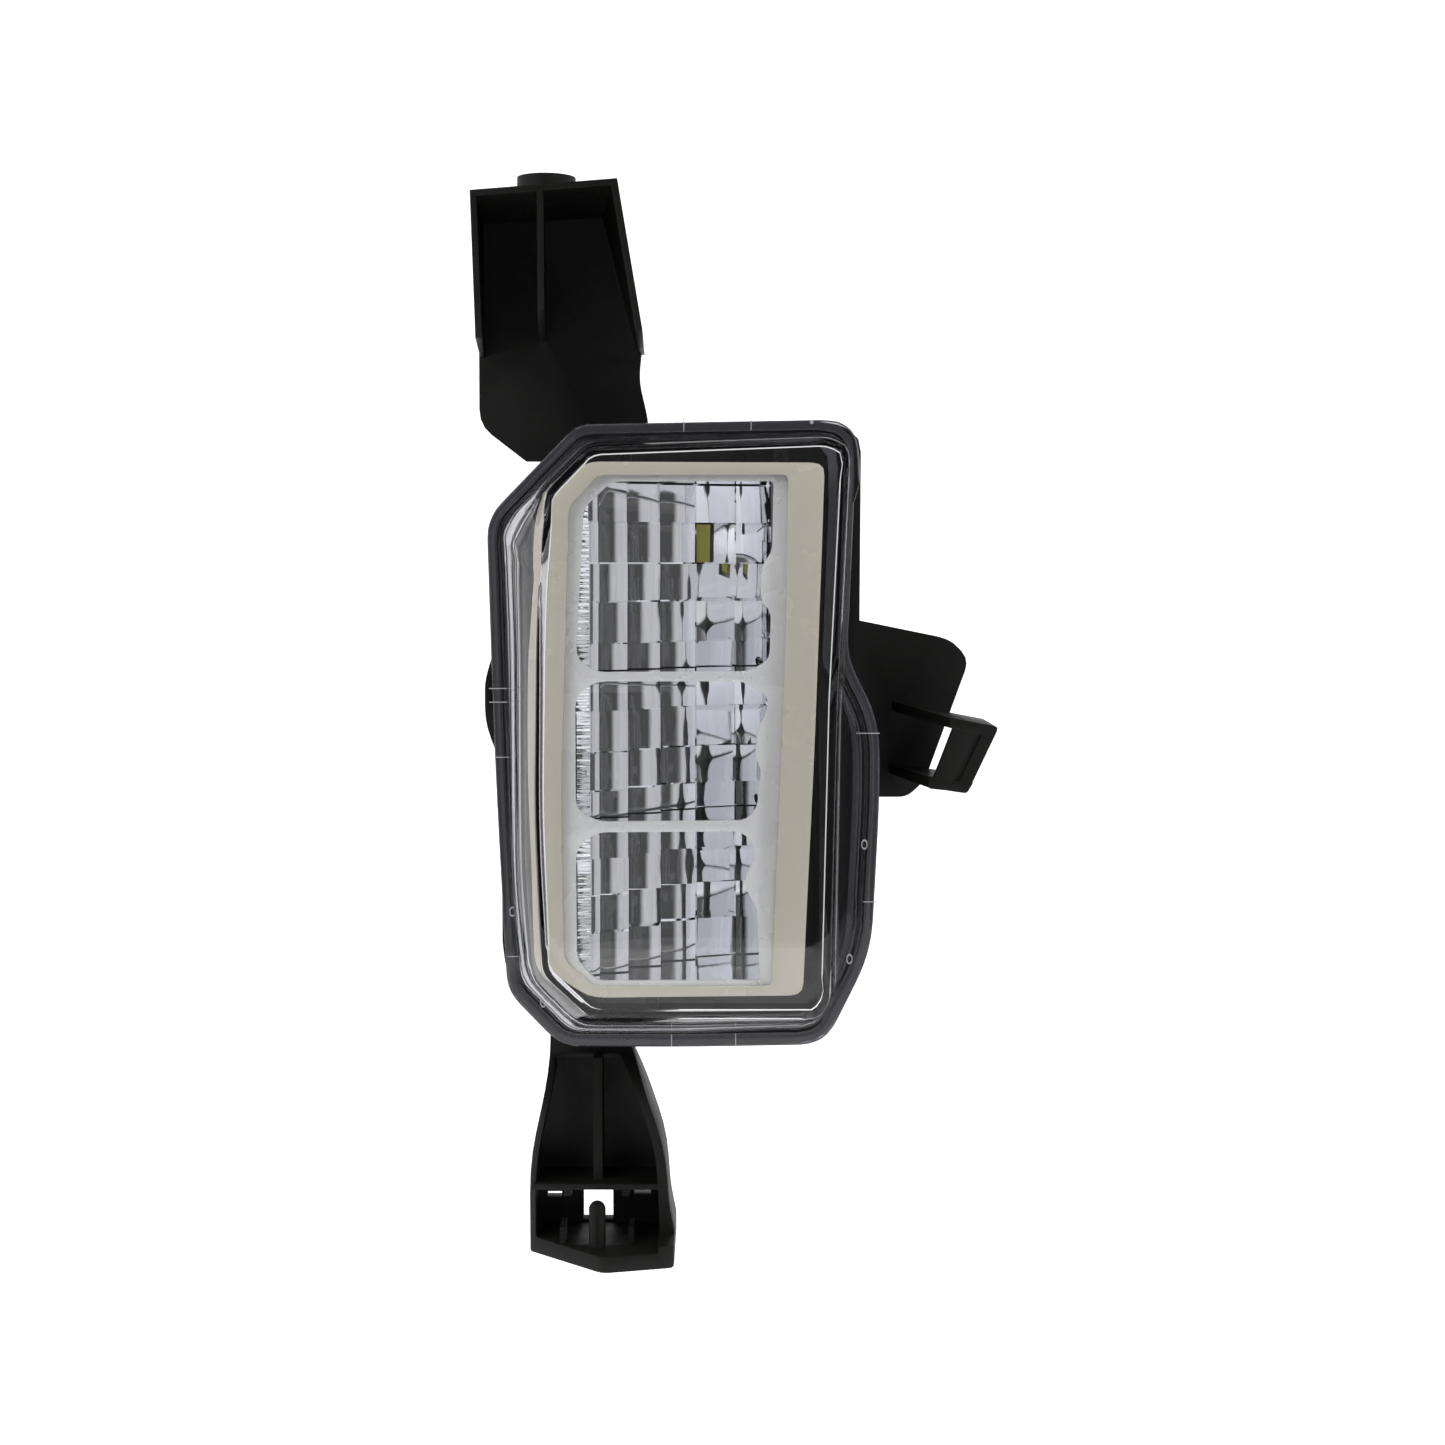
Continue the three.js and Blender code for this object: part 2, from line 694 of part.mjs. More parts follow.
// Pan-head screw; `tip` and `seat` are its ends along the axis, the head
// standing past `seat`.
function screw(axis, place, tip, seat, radius, headRadius, headHeight) {
  const way = Math.sign(seat - tip);
  const ends = (a, b) => [Math.min(a, b), Math.max(a, b)];
  const top = seat + way * headHeight;
  const depth = top - way * headHeight * 0.55;
  const [shankFrom, shankTo] = ends(tip, seat + way * 0.2);
  const [headFrom, headTo] = ends(seat, top);
  const [driveFrom, driveTo] = ends(depth, top + way);
  return cut(
    join(
      rod(axis, place, radius, shankFrom, shankTo, 8),
      rod(axis, place, headRadius, headFrom, headTo, 16),
    ),
    rod(axis, place, headRadius * 0.5, driveFrom, driveTo, 6),
  );
}

// ---- electrics ----------------------------------------------------------

const driver = { x0: -44, x1: -12, z0: -62, z1: -14, front: 41.9, back: 43.6 };

function driverBoard() {
  const board = box([driver.x0, driver.x1], [driver.front, driver.back], [driver.z0, driver.z1])
    .intersect(prism(inset(housingBody, wall + 0.6), 30, 50));
  return cut(
    board,
    ...boardPosts.map((place) => rod('y', place, 1.5, 40, 46, 12)),
    ...[-3.5, 3.5].map((side) => rod('y', [connector.x + side, connector.z], 1.1, 40, 46, 12)),
  );
}

function driverCoil() {
  const body = join(
    box([-36, -26], [34.4, 35.8], [-30, -20]),
    rod('y', [-31, -25], 3.6, 35.5, 40.2, 20),
    box([-36, -26], [40, 41.6], [-30, -20]),
  );
  return body;
}

function driverCapacitor() {
  return join(
    rod('y', [-20, -26], 4, 33.6, 41, 24),
    box([-24.2, -15.8], [40.6, 41.6], [-30.2, -21.8]),
  );
}

function driverChip() {
  return box([-26, -19], [40.1, 41.6], [-52, -45]);
}

function connectorSocket() {
  const { x, z } = connector;
  const flangePlate = box([x - 15, x + 15], [50.4, 52.6], [z - 9, z + 9]);
  const neck = box([x - 8.4, x + 8.4], [45.6, 51], [z - 5.9, z + 5.9]);
  const tower = prism([
    [x - 8.5, z + 6, 2], [x + 8.5, z + 6, 2], [x + 8.5, z - 6, 2], [x - 8.5, z - 6, 2],
  ], 52, 68);
  const mouth = prism([
    [x - 6.9, z + 4.4, 1.2], [x + 6.9, z + 4.4, 1.2], [x + 6.9, z - 4.4, 1.2],
    [x - 6.9, z - 4.4, 1.2],
  ], 53.5, 70);
  const latch = box([x - 2.5, x + 2.5], [58, 61], [z + 5.5, z + 7.4]);
  return cut(
    join(flangePlate, neck, tower, latch),
    mouth,
    ...[-3.5, 3.5].map((side) => rod('y', [x + side, z], 1, 40, 60, 12)),
    ...connectorPosts.map((place) => rod('y', place, 1.7, 48, 56, 16)),
  );
}

function connectorSeal() {
  const { x, z } = connector;
  return cut(
    box([x - 14.4, x + 14.4], [49.3, 50.1], [z - 8.4, z + 8.4]),
    box([x - 9, x + 9], [48, 52], [z - 6.5, z + 6.5]),
    ...connectorPosts.map((place) => rod('y', place, 1.9, 48, 52, 16)),
  );
}

function terminal(side) {
  return rod('y', [connector.x + side, connector.z], 0.7, 40.6, 63, 10);
}

// Lead from the driver board round the back of the mirrors to the LED board.
function lead(offset) {
  const z = -34 - offset * 3;
  const path = new THREE.CatmullRomCurve3([
    new THREE.Vector3(-14.5, 40.6, z),
    new THREE.Vector3(-12, 40.6, z),
    new THREE.Vector3(-9, 42, z),
    new THREE.Vector3(0, 43.9, z),
    new THREE.Vector3(8, 44, z),
    new THREE.Vector3(12.4, 42.9, z),
  ]);
  const section = new THREE.Shape().absarc(0, 0, 0.7, 0, Math.PI * 2);
  return solid(new THREE.ExtrudeGeometry(section, {
    steps: 14, curveSegments: 3, bevelEnabled: false, extrudePath: path,
  }));
}

function ventCap() {
  const cap = cut(
    join(
      rod('y', [vent.x, vent.z], 8, 49.3, 53.4, 32),
      rod('y', [vent.x, vent.z], 4.6, 46.9, 50, 24),
    ),
    rod('y', [vent.x, vent.z], 3.4, 46, 51.6, 24),
  );
  const slots = [0, 1, 2, 3].map((turn) => {
    const geometry = new THREE.BoxGeometry(20, 1, 2.2);
    geometry.rotateY(turn * Math.PI / 4);
    geometry.translate(vent.x, 51.1, vent.z);
    return solid(geometry);
  });
  return cut(cap, ...slots);
}

function ventMembrane() {
  return rod('y', [vent.x, vent.z], 3.1, 47.4, 47.8, 24);
}

// ---- aiming screw -------------------------------------------------------

function aimScrew() {
  const place = [aim.x, aim.z];
  const core = rod('y', place, aim.coreRadius, 20.6, 54, 16);
  const journal = rod('y', place, aim.hole - gap, 24.2, 36.4, 20);
  const collar = rod('y', place, 6, 36.3, 38, 20);
  const threads = [];
  for (let y = 39.5; y < 52; y += aim.pitch) {
    threads.push(rod('y', place, aim.threadRadius, y, y + aim.pitch / 2, 16));
  }
  const head = cut(
    join(
      rod('y', place, 5.6, 52.6, 53.8, 20),
      rod('y', place, 4.4, 53.6, 58.6, 6),
    ),
    rod('y', place, 2.1, 55.6, 60, 6),
  );
  return join(core, journal, collar, ...threads, head);
}

function aimNut() {
  return cut(
    box([aim.x - 4.6, aim.x + 4.6], nutSpan, [aim.z - 4, aim.z + 4]),
    rod('y', [aim.x, aim.z], aim.threadRadius + nutPlay, 42, 50, 16),
  );
}

function screwRetainer() {
  return cut(
    rod('y', [aim.x, aim.z], 5.6, 22.2, 23.7, 20),
    rod('y', [aim.x, aim.z], aim.coreRadius + gap, 20, 25, 16),
    box([aim.x - 0.8, aim.x + 0.8], [20, 25], [aim.z, aim.z + 8]),
  );
}

// ---- assembly -----------------------------------------------------------

const looks = {
  blackPlastic: { color: 0x17181a, roughness: 0.62, metalness: 0 },
  housingPlastic: { color: 0x101113, roughness: 0.5, metalness: 0 },
  clearPlastic: { color: 0xe9ecf2, roughness: 0.05, metalness: 0, transparent: true, opacity: 0.3 },
  rubber: { color: 0x1d1d1f, roughness: 0.85, metalness: 0 },
  creamTrim: { color: 0xdedac6, roughness: 0.28, metalness: 0.35 },
  greyTrim: { color: 0xb4bac4, roughness: 0.3, metalness: 0.5 },
  mirror: { color: 0xe8eaee, roughness: 0.06, metalness: 1 },
  phosphor: { color: 0xe6c84a, roughness: 0.5, metalness: 0 },
  boardWhite: { color: 0xe6e7e4, roughness: 0.5, metalness: 0 },
  boardGreen: { color: 0x1d5a34, roughness: 0.45, metalness: 0 },
  aluminium: { color: 0xb9bcc0, roughness: 0.4, metalness: 1 },
  steel: { color: 0x9da1a6, roughness: 0.35, metalness: 1 },
  blackSteel: { color: 0x222324, roughness: 0.45, metalness: 1 },
  brass: { color: 0xc79a4a, roughness: 0.35, metalness: 1 },
  acetal: { color: 0xe8e6df, roughness: 0.4, metalness: 0 },
  ferrite: { color: 0x3a3a3d, roughness: 0.6, metalness: 0.1 },
  red: { color: 0xa32620, roughness: 0.5, metalness: 0 },
  black: { color: 0x141414, roughness: 0.5, metalness: 0 },
  padGrey: { color: 0x8d9296, roughness: 0.8, metalness: 0 },
};

// Wraps a solid as a named mesh of the given look.
function part(name, body, look) {
  const { vertProperties, triVerts } = body.getMesh();
  const geometry = new THREE.BufferGeometry();
  geometry.setAttribute('position', new THREE.BufferAttribute(vertProperties, 3));
  geometry.setIndex(new THREE.BufferAttribute(triVerts, 1));
  geometry.computeVertexNormals();
  const mesh = new THREE.Mesh(geometry, new THREE.MeshStandardMaterial(looks[look]));
  mesh.name = name;
  return mesh;
}

const bracketGroup = new THREE.Group();
bracketGroup.add(
  part('mounting_bracket', mountingBracket(), 'blackPlastic'),
  part('pivot_bush_left', pivotBush(-55.1, -49.7, -49.2), 'acetal'),
  part('pivot_bush_right', pivotBush(27.7, 33.1, 27.2), 'acetal'),
);

const aimGroup = new THREE.Group();
aimGroup.add(
  part('aim_screw', aimScrew(), 'steel'),
  part('aim_screw_retainer', screwRetainer(), 'steel'),
);

const lampGroup = new THREE.Group();
lampGroup.add(
  part('housing', housing(), 'housingPlastic'),
  part('lens', lens(), 'clearPlastic'),
  part('lens_seal', lensSeal(), 'rubber'),
  part('bezel', bezel(), 'creamTrim'),
  part('inner_frame', innerFrame(), 'greyTrim'),
  part('reflector', reflector(), 'mirror'),
  part('led_board', ledBoard(), 'boardWhite'),
  part('thermal_pad', thermalPad(), 'padGrey'),
  part('heat_sink', heatSink(), 'aluminium'),
  part('heat_sink_gasket', heatSinkGasket(), 'rubber'),
  part('driver_board', driverBoard(), 'boardGreen'),
  part('driver_coil', driverCoil(), 'ferrite'),
  part('driver_capacitor', driverCapacitor(), 'aluminium'),
  part('driver_chip', driverChip(), 'black'),
  part('connector_socket', connectorSocket(), 'blackPlastic'),
  part('connector_seal', connectorSeal(), 'rubber'),
  part('terminal_left', terminal(-3.5), 'brass'),
  part('terminal_right', terminal(3.5), 'brass'),
  part('lead_positive', lead(0), 'red'),
  part('lead_negative', lead(1), 'black'),
  part('vent_cap', ventCap(), 'rubber'),
  part('vent_membrane', ventMembrane(), 'boardWhite'),
  part('aim_nut', aimNut(), 'acetal'),
);
Object.keys(cells).forEach((name, i) => {
  lampGroup.add(part(`led_${name}`, ledPackage(ledHeights[i]), 'phosphor'));
});
rearBosses.forEach((place, i) => {
  lampGroup.add(part(`heat_sink_screw_${i + 1}`, screw('y', place, 45, 53.7, 1.3, 2.8, 2.2), 'steel'));
});
ledBoardPosts.forEach((z, i) => {
  const body = screw('x', [32, z], boardFace + 4.6, boardFace - gap, 0.9, 2, 1.1);
  lampGroup.add(part(`led_board_screw_${i + 1}`, body, 'steel'));
});
bezelPosts.forEach((place, i) => {
  lampGroup.add(part(`bezel_screw_${i + 1}`, screw('y', place, 13, 2.2, 0.9, 1.6, 1.4), 'blackSteel'));
});
reflectorPosts.forEach((place, i) => {
  lampGroup.add(part(`reflector_screw_${i + 1}`, screw('y', place, 14, 7.2, 0.9, 2, 1.4), 'blackSteel'));
});
boardPosts.forEach((place, i) => {
  const body = screw('y', place, 46.6, driver.front - gap, 0.9, 2.1, 1.4);
  lampGroup.add(part(`driver_screw_${i + 1}`, body, 'steel'));
});
connectorPosts.forEach((place, i) => {
  lampGroup.add(part(`connector_screw_${i + 1}`, screw('y', place, 45.4, 52.9, 1.3, 2.6, 1.8), 'steel'));
});

// The origin is the centre of the pad's top face.
const fogLight = new THREE.Group();
fogLight.add(bracketGroup, aimGroup, lampGroup);
fogLight.position.set(-padTop.x, -padTop.y, -padTop.z);
const assembly = new THREE.Group();
assembly.add(fogLight);

export default assembly;
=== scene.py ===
# Looks for the vertical fog light: studio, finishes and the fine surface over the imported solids.
import json
import math

import bpy
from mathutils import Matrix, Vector

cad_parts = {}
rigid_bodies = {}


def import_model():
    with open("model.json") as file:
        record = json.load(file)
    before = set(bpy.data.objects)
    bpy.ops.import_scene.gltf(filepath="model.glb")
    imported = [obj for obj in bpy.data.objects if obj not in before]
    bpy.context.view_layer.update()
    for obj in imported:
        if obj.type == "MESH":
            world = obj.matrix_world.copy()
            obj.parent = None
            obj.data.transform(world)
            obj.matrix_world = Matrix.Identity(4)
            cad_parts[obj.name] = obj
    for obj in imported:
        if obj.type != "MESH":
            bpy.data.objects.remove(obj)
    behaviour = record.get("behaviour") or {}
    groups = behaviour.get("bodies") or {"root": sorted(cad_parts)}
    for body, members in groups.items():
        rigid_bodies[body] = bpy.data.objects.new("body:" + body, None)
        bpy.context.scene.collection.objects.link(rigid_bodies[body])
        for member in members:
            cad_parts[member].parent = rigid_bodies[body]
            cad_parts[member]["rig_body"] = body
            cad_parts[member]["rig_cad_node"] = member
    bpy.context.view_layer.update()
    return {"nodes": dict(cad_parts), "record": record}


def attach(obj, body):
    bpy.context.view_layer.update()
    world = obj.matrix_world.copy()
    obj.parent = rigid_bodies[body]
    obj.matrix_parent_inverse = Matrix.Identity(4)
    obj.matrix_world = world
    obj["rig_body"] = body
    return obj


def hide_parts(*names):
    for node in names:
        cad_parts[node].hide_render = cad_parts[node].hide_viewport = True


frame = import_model()
nodes = frame["nodes"]

# centre of the lamp's drawing, measured from the round pad's top face
lampOrigin = Vector((0.0426, -0.0131, -0.1311))
mm = 0.001


def lampPoint(x, y, z):
    return lampOrigin + Vector((x, y, z)) * mm


def clearSelection():
    if bpy.context.object and bpy.context.object.mode != "OBJECT":
        bpy.ops.object.mode_set(mode="OBJECT")
    bpy.ops.object.select_all(action="DESELECT")


def pick(piece):
    clearSelection()
    piece.select_set(True)
    bpy.context.view_layer.objects.active = piece


def pickFaces(piece, test):
    # face selection in object mode, ready for edit mode operators
    for face in piece.data.polygons:
        face.select = test(face)
    for edge in piece.data.edges:
        edge.select = False
    for vertex in piece.data.vertices:
        vertex.select = False
    for face in piece.data.polygons:
        if face.select:
            for index in face.vertices:
                piece.data.vertices[index].select = True


cameraSetup = {
    "height": 0.0386,       # above the lamp's centre
    "distance": 0.4905,
    "lookDown": 4.5,        # degrees
    "lens": 50.95,
}


def makeCamera():
    data = bpy.data.cameras.new("frontCamera")
    camera = bpy.data.objects.new("frontCamera", data)
    bpy.context.scene.collection.objects.link(camera)
    camera.location = lampOrigin + Vector((0, -cameraSetup["distance"], cameraSetup["height"]))
    camera.rotation_euler = (math.radians(90 - cameraSetup["lookDown"]), 0, 0)
    data.lens = cameraSetup["lens"]
    data.sensor_width = 36
    data.clip_start = 0.01
    bpy.context.scene.camera = camera
    bpy.context.scene.view_settings.view_transform = "Standard"


studio = {
    "floorDrop": 0.62,      # floor below the lamp's centre
    "floorSize": 6,
    "backdropAway": 1.5,
    "backdropHeight": 4,
    "sweepBend": 0.8,       # radius of the paper where it turns up
    "tone": (0.95, 0.95, 0.95, 1),
    "glow": 0.55,           # the paper is lit evenly, as a lit sweep is
    "glowBelow": 0.1,       # but throws little of that light up at the lamp
    "lights": [
        # name, place, size, power
        ("keySoftbox", (-0.85, -0.75, 0.75), (0.7, 0.7), 7.2),
        ("rightStrip", (0.95, -0.45, 0.25), (0.25, 1.1), 5),
        ("topSoftbox", (0.0, -0.1, 1.1), (0.9, 0.5), 6),
    ],
    # brightness all round the horizon: degrees from straight in front of the lens, right is positive
    "around": [
        (-180, 0.85), (-52, 0.85), (-46, 0.72), (-24, 0.62), (-16, 0.09), (22, 0.08), (29, 0.62),
        (64, 0.64), (70, 0.45), (110, 0.8), (180, 0.85),
    ],
}


def makeWorld():
    # a light tent with a dark gap where the maker stands, which the mirrors show as dark stripes
    world = bpy.data.worlds.new("studioWorld")
    bpy.context.scene.world = world
    world.use_nodes = True
    tree = world.node_tree
    sky = tree.nodes["Background"]
    place = tree.nodes.new("ShaderNodeTexCoord")
    axes = tree.nodes.new("ShaderNodeSeparateXYZ")
    back = tree.nodes.new("ShaderNodeMath")
    back.operation = "MULTIPLY"
    back.inputs[1].default_value = -1
    turn = tree.nodes.new("ShaderNodeMath")
    turn.operation = "ARCTAN2"
    share = tree.nodes.new("ShaderNodeMapRange")
    share.inputs["From Min"].default_value = -math.pi
    share.inputs["From Max"].default_value = math.pi
    ramp = tree.nodes.new("ShaderNodeValToRGB")
    stops = ramp.color_ramp.elements
    for number, (angle, tone) in enumerate(studio["around"]):
        spot = (angle + 180) / 360
        stop = stops[number] if number < 2 else stops.new(spot)
        stop.position = spot
        stop.color = (tone, tone, tone * 1.01, 1)
    rays = tree.nodes.new("ShaderNodeLightPath")
    seen = tree.nodes.new("ShaderNodeMix")
    seen.data_type = "RGBA"
    seen.inputs["B"].default_value = (1, 1, 1, 1)
    tree.links.new(place.outputs["Generated"], axes.inputs["Vector"])
    tree.links.new(axes.outputs["Y"], back.inputs[0])
    tree.links.new(axes.outputs["X"], turn.inputs[0])
    tree.links.new(back.outputs["Value"], turn.inputs[1])
    tree.links.new(turn.outputs["Value"], share.inputs["Value"])
    tree.links.new(share.outputs["Result"], ramp.inputs["Fac"])
    tree.links.new(rays.outputs["Is Camera Ray"], seen.inputs["Factor"])
    tree.links.new(ramp.outputs["Color"], seen.inputs["A"])
    tree.links.new(seen.outputs["Result"], sky.inputs["Color"])
    sky.inputs["Strength"].default_value = 1.0


def makeStudio():
    clearSelection()
    farEdge = studio["floorSize"] / 2
    bpy.ops.mesh.primitive_plane_add(
        size=studio["floorSize"], location=lampOrigin - Vector((0, 0, studio["floorDrop"])))
    floor = bpy.context.object
    floor.name = "floorSweep"
    bpy.ops.object.mode_set(mode="EDIT")
    bpy.ops.mesh.select_all(action="DESELECT")
    bpy.ops.object.mode_set(mode="OBJECT")
    for edge in floor.data.edges:
        edge.select = all(floor.data.vertices[i].co.y > farEdge - 0.1 for i in edge.vertices)
        if edge.select:
            for i in edge.vertices:
                floor.data.vertices[i].select = True
    bpy.ops.object.mode_set(mode="EDIT")
    bpy.ops.mesh.select_mode(type="EDGE")
    bpy.ops.transform.translate(value=(0, studio["backdropAway"] - farEdge, 0))
    bpy.ops.mesh.extrude_region_move(TRANSFORM_OT_translate={"value": (0, 0, studio["backdropHeight"])})
    bpy.ops.object.mode_set(mode="OBJECT")
    bend = floor.modifiers.new("sweepBend", "BEVEL")
    bend.width = studio["sweepBend"]
    bend.segments = 12
    bend.limit_method = "ANGLE"
    bpy.ops.object.modifier_apply(modifier=bend.name)
    bpy.ops.object.shade_smooth()
    bpy.ops.object.transform_apply(location=True, rotation=True, scale=True)
    material = bpy.data.materials.new("floorPaper")
    material.use_nodes = True
    tree = material.node_tree
    shader = tree.nodes["Principled BSDF"]
    shader.inputs["Base Color"].default_value = studio["tone"]
    shader.inputs["Roughness"].default_value = 0.9
    shader.inputs["Emission Color"].default_value = studio["tone"]
    rays = tree.nodes.new("ShaderNodeLightPath")
    glow = tree.nodes.new("ShaderNodeMapRange")
    glow.inputs["To Min"].default_value = studio["glowBelow"]
    glow.inputs["To Max"].default_value = studio["glow"]
    tree.links.new(rays.outputs["Is Camera Ray"], glow.inputs["Value"])
    tree.links.new(glow.outputs["Result"], shader.inputs["Emission Strength"])
    floor.data.materials.append(material)

    makeWorld()
    for name, place, size, power in studio["lights"]:
        data = bpy.data.lights.new(name, "AREA")
        data.shape = "RECTANGLE"
        data.size, data.size_y = size
        data.energy = power
        light = bpy.data.objects.new(name, data)
        light.visible_camera = False
        light.visible_glossy = False    # the mirrors show the tent, not the lamps that light it
        light.visible_transmission = False
        light.location = lampOrigin + Vector(place)
        light.rotation_euler = (lampOrigin - light.location).to_track_quat("-Z", "Y").to_euler()
        bpy.context.scene.collection.objects.link(light)


def newGroup(name, inputs, outputs):
    group = bpy.data.node_groups.new(name, "ShaderNodeTree")
    for label, kind, value in inputs:
        socket = group.interface.new_socket(label, in_out="INPUT", socket_type=kind)
        socket.default_value = value
    for label, kind in outputs:
        group.interface.new_socket(label, in_out="OUTPUT", socket_type=kind)
    return group, group.nodes.new("NodeGroupInput"), group.nodes.new("NodeGroupOutput")


def makeToneDrift():
    # slow colour change over a surface
    group, source, result = newGroup("toneDrift", [
        ("Tone", "NodeSocketColor", (0.5, 0.5, 0.5, 1)),
        ("Second Tone", "NodeSocketColor", (0.6, 0.6, 0.6, 1)),
        ("Scale", "NodeSocketFloat", 60),
    ], [("Color", "NodeSocketColor")])
    links = group.links
    place = group.nodes.new("ShaderNodeTexCoord")
    noise = group.nodes.new("ShaderNodeTexNoise")
    noise.inputs["Detail"].default_value = 4
    ramp = group.nodes.new("ShaderNodeMapRange")
    ramp.inputs["From Min"].default_value = 0.3
    ramp.inputs["From Max"].default_value = 0.7
    mix = group.nodes.new("ShaderNodeMix")
    mix.data_type = "RGBA"
    links.new(place.outputs["Object"], noise.inputs["Vector"])
    links.new(source.outputs["Scale"], noise.inputs["Scale"])
    links.new(noise.outputs["Fac"], ramp.inputs["Value"])
    links.new(ramp.outputs["Result"], mix.inputs["Factor"])
    links.new(source.outputs["Tone"], mix.inputs["A"])
    links.new(source.outputs["Second Tone"], mix.inputs["B"])
    links.new(mix.outputs["Result"], result.inputs["Color"])
    return group


def makeGrain():
    # fine moulded or blasted texture: a height and a mask for roughness
    group, source, result = newGroup("surfaceGrain", [
        ("Scale", "NodeSocketFloat", 1500),
        ("Pits", "NodeSocketFloat", 0.4),
    ], [("Height", "NodeSocketFloat"), ("Mask", "NodeSocketFloat")])
    links = group.links
    place = group.nodes.new("ShaderNodeTexCoord")
    noise = group.nodes.new("ShaderNodeTexNoise")
    noise.inputs["Detail"].default_value = 3
    cells = group.nodes.new("ShaderNodeTexVoronoi")
    blend = group.nodes.new("ShaderNodeMix")
    coarse = group.nodes.new("ShaderNodeTexNoise")
    coarse.inputs["Scale"].default_value = 90
    coarse.inputs["Detail"].default_value = 5
    links.new(place.outputs["Object"], noise.inputs["Vector"])
    links.new(place.outputs["Object"], cells.inputs["Vector"])
    links.new(place.outputs["Object"], coarse.inputs["Vector"])
    links.new(source.outputs["Scale"], noise.inputs["Scale"])
    links.new(source.outputs["Scale"], cells.inputs["Scale"])
    links.new(source.outputs["Pits"], blend.inputs["Factor"])
    links.new(noise.outputs["Fac"], blend.inputs["A"])
    links.new(cells.outputs["Distance"], blend.inputs["B"])
    links.new(blend.outputs["Result"], result.inputs["Height"])
    links.new(coarse.outputs["Fac"], result.inputs["Mask"])
    return group


def makeBrushLines():
    # fine lines left by a tool or a brush, along one axis
    group, source, result = newGroup("brushLines", [
        ("Stretch", "NodeSocketVector", (40, 3000, 3000)),
    ], [("Height", "NodeSocketFloat")])
    links = group.links
    place = group.nodes.new("ShaderNodeTexCoord")
    scale = group.nodes.new("ShaderNodeVectorMath")
    scale.operation = "MULTIPLY"
    noise = group.nodes.new("ShaderNodeTexNoise")
    noise.inputs["Scale"].default_value = 1
    noise.inputs["Detail"].default_value = 2
    links.new(place.outputs["Object"], scale.inputs[0])
    links.new(source.outputs["Stretch"], scale.inputs[1])
    links.new(scale.outputs["Vector"], noise.inputs["Vector"])
    links.new(noise.outputs["Fac"], result.inputs["Height"])
    return group


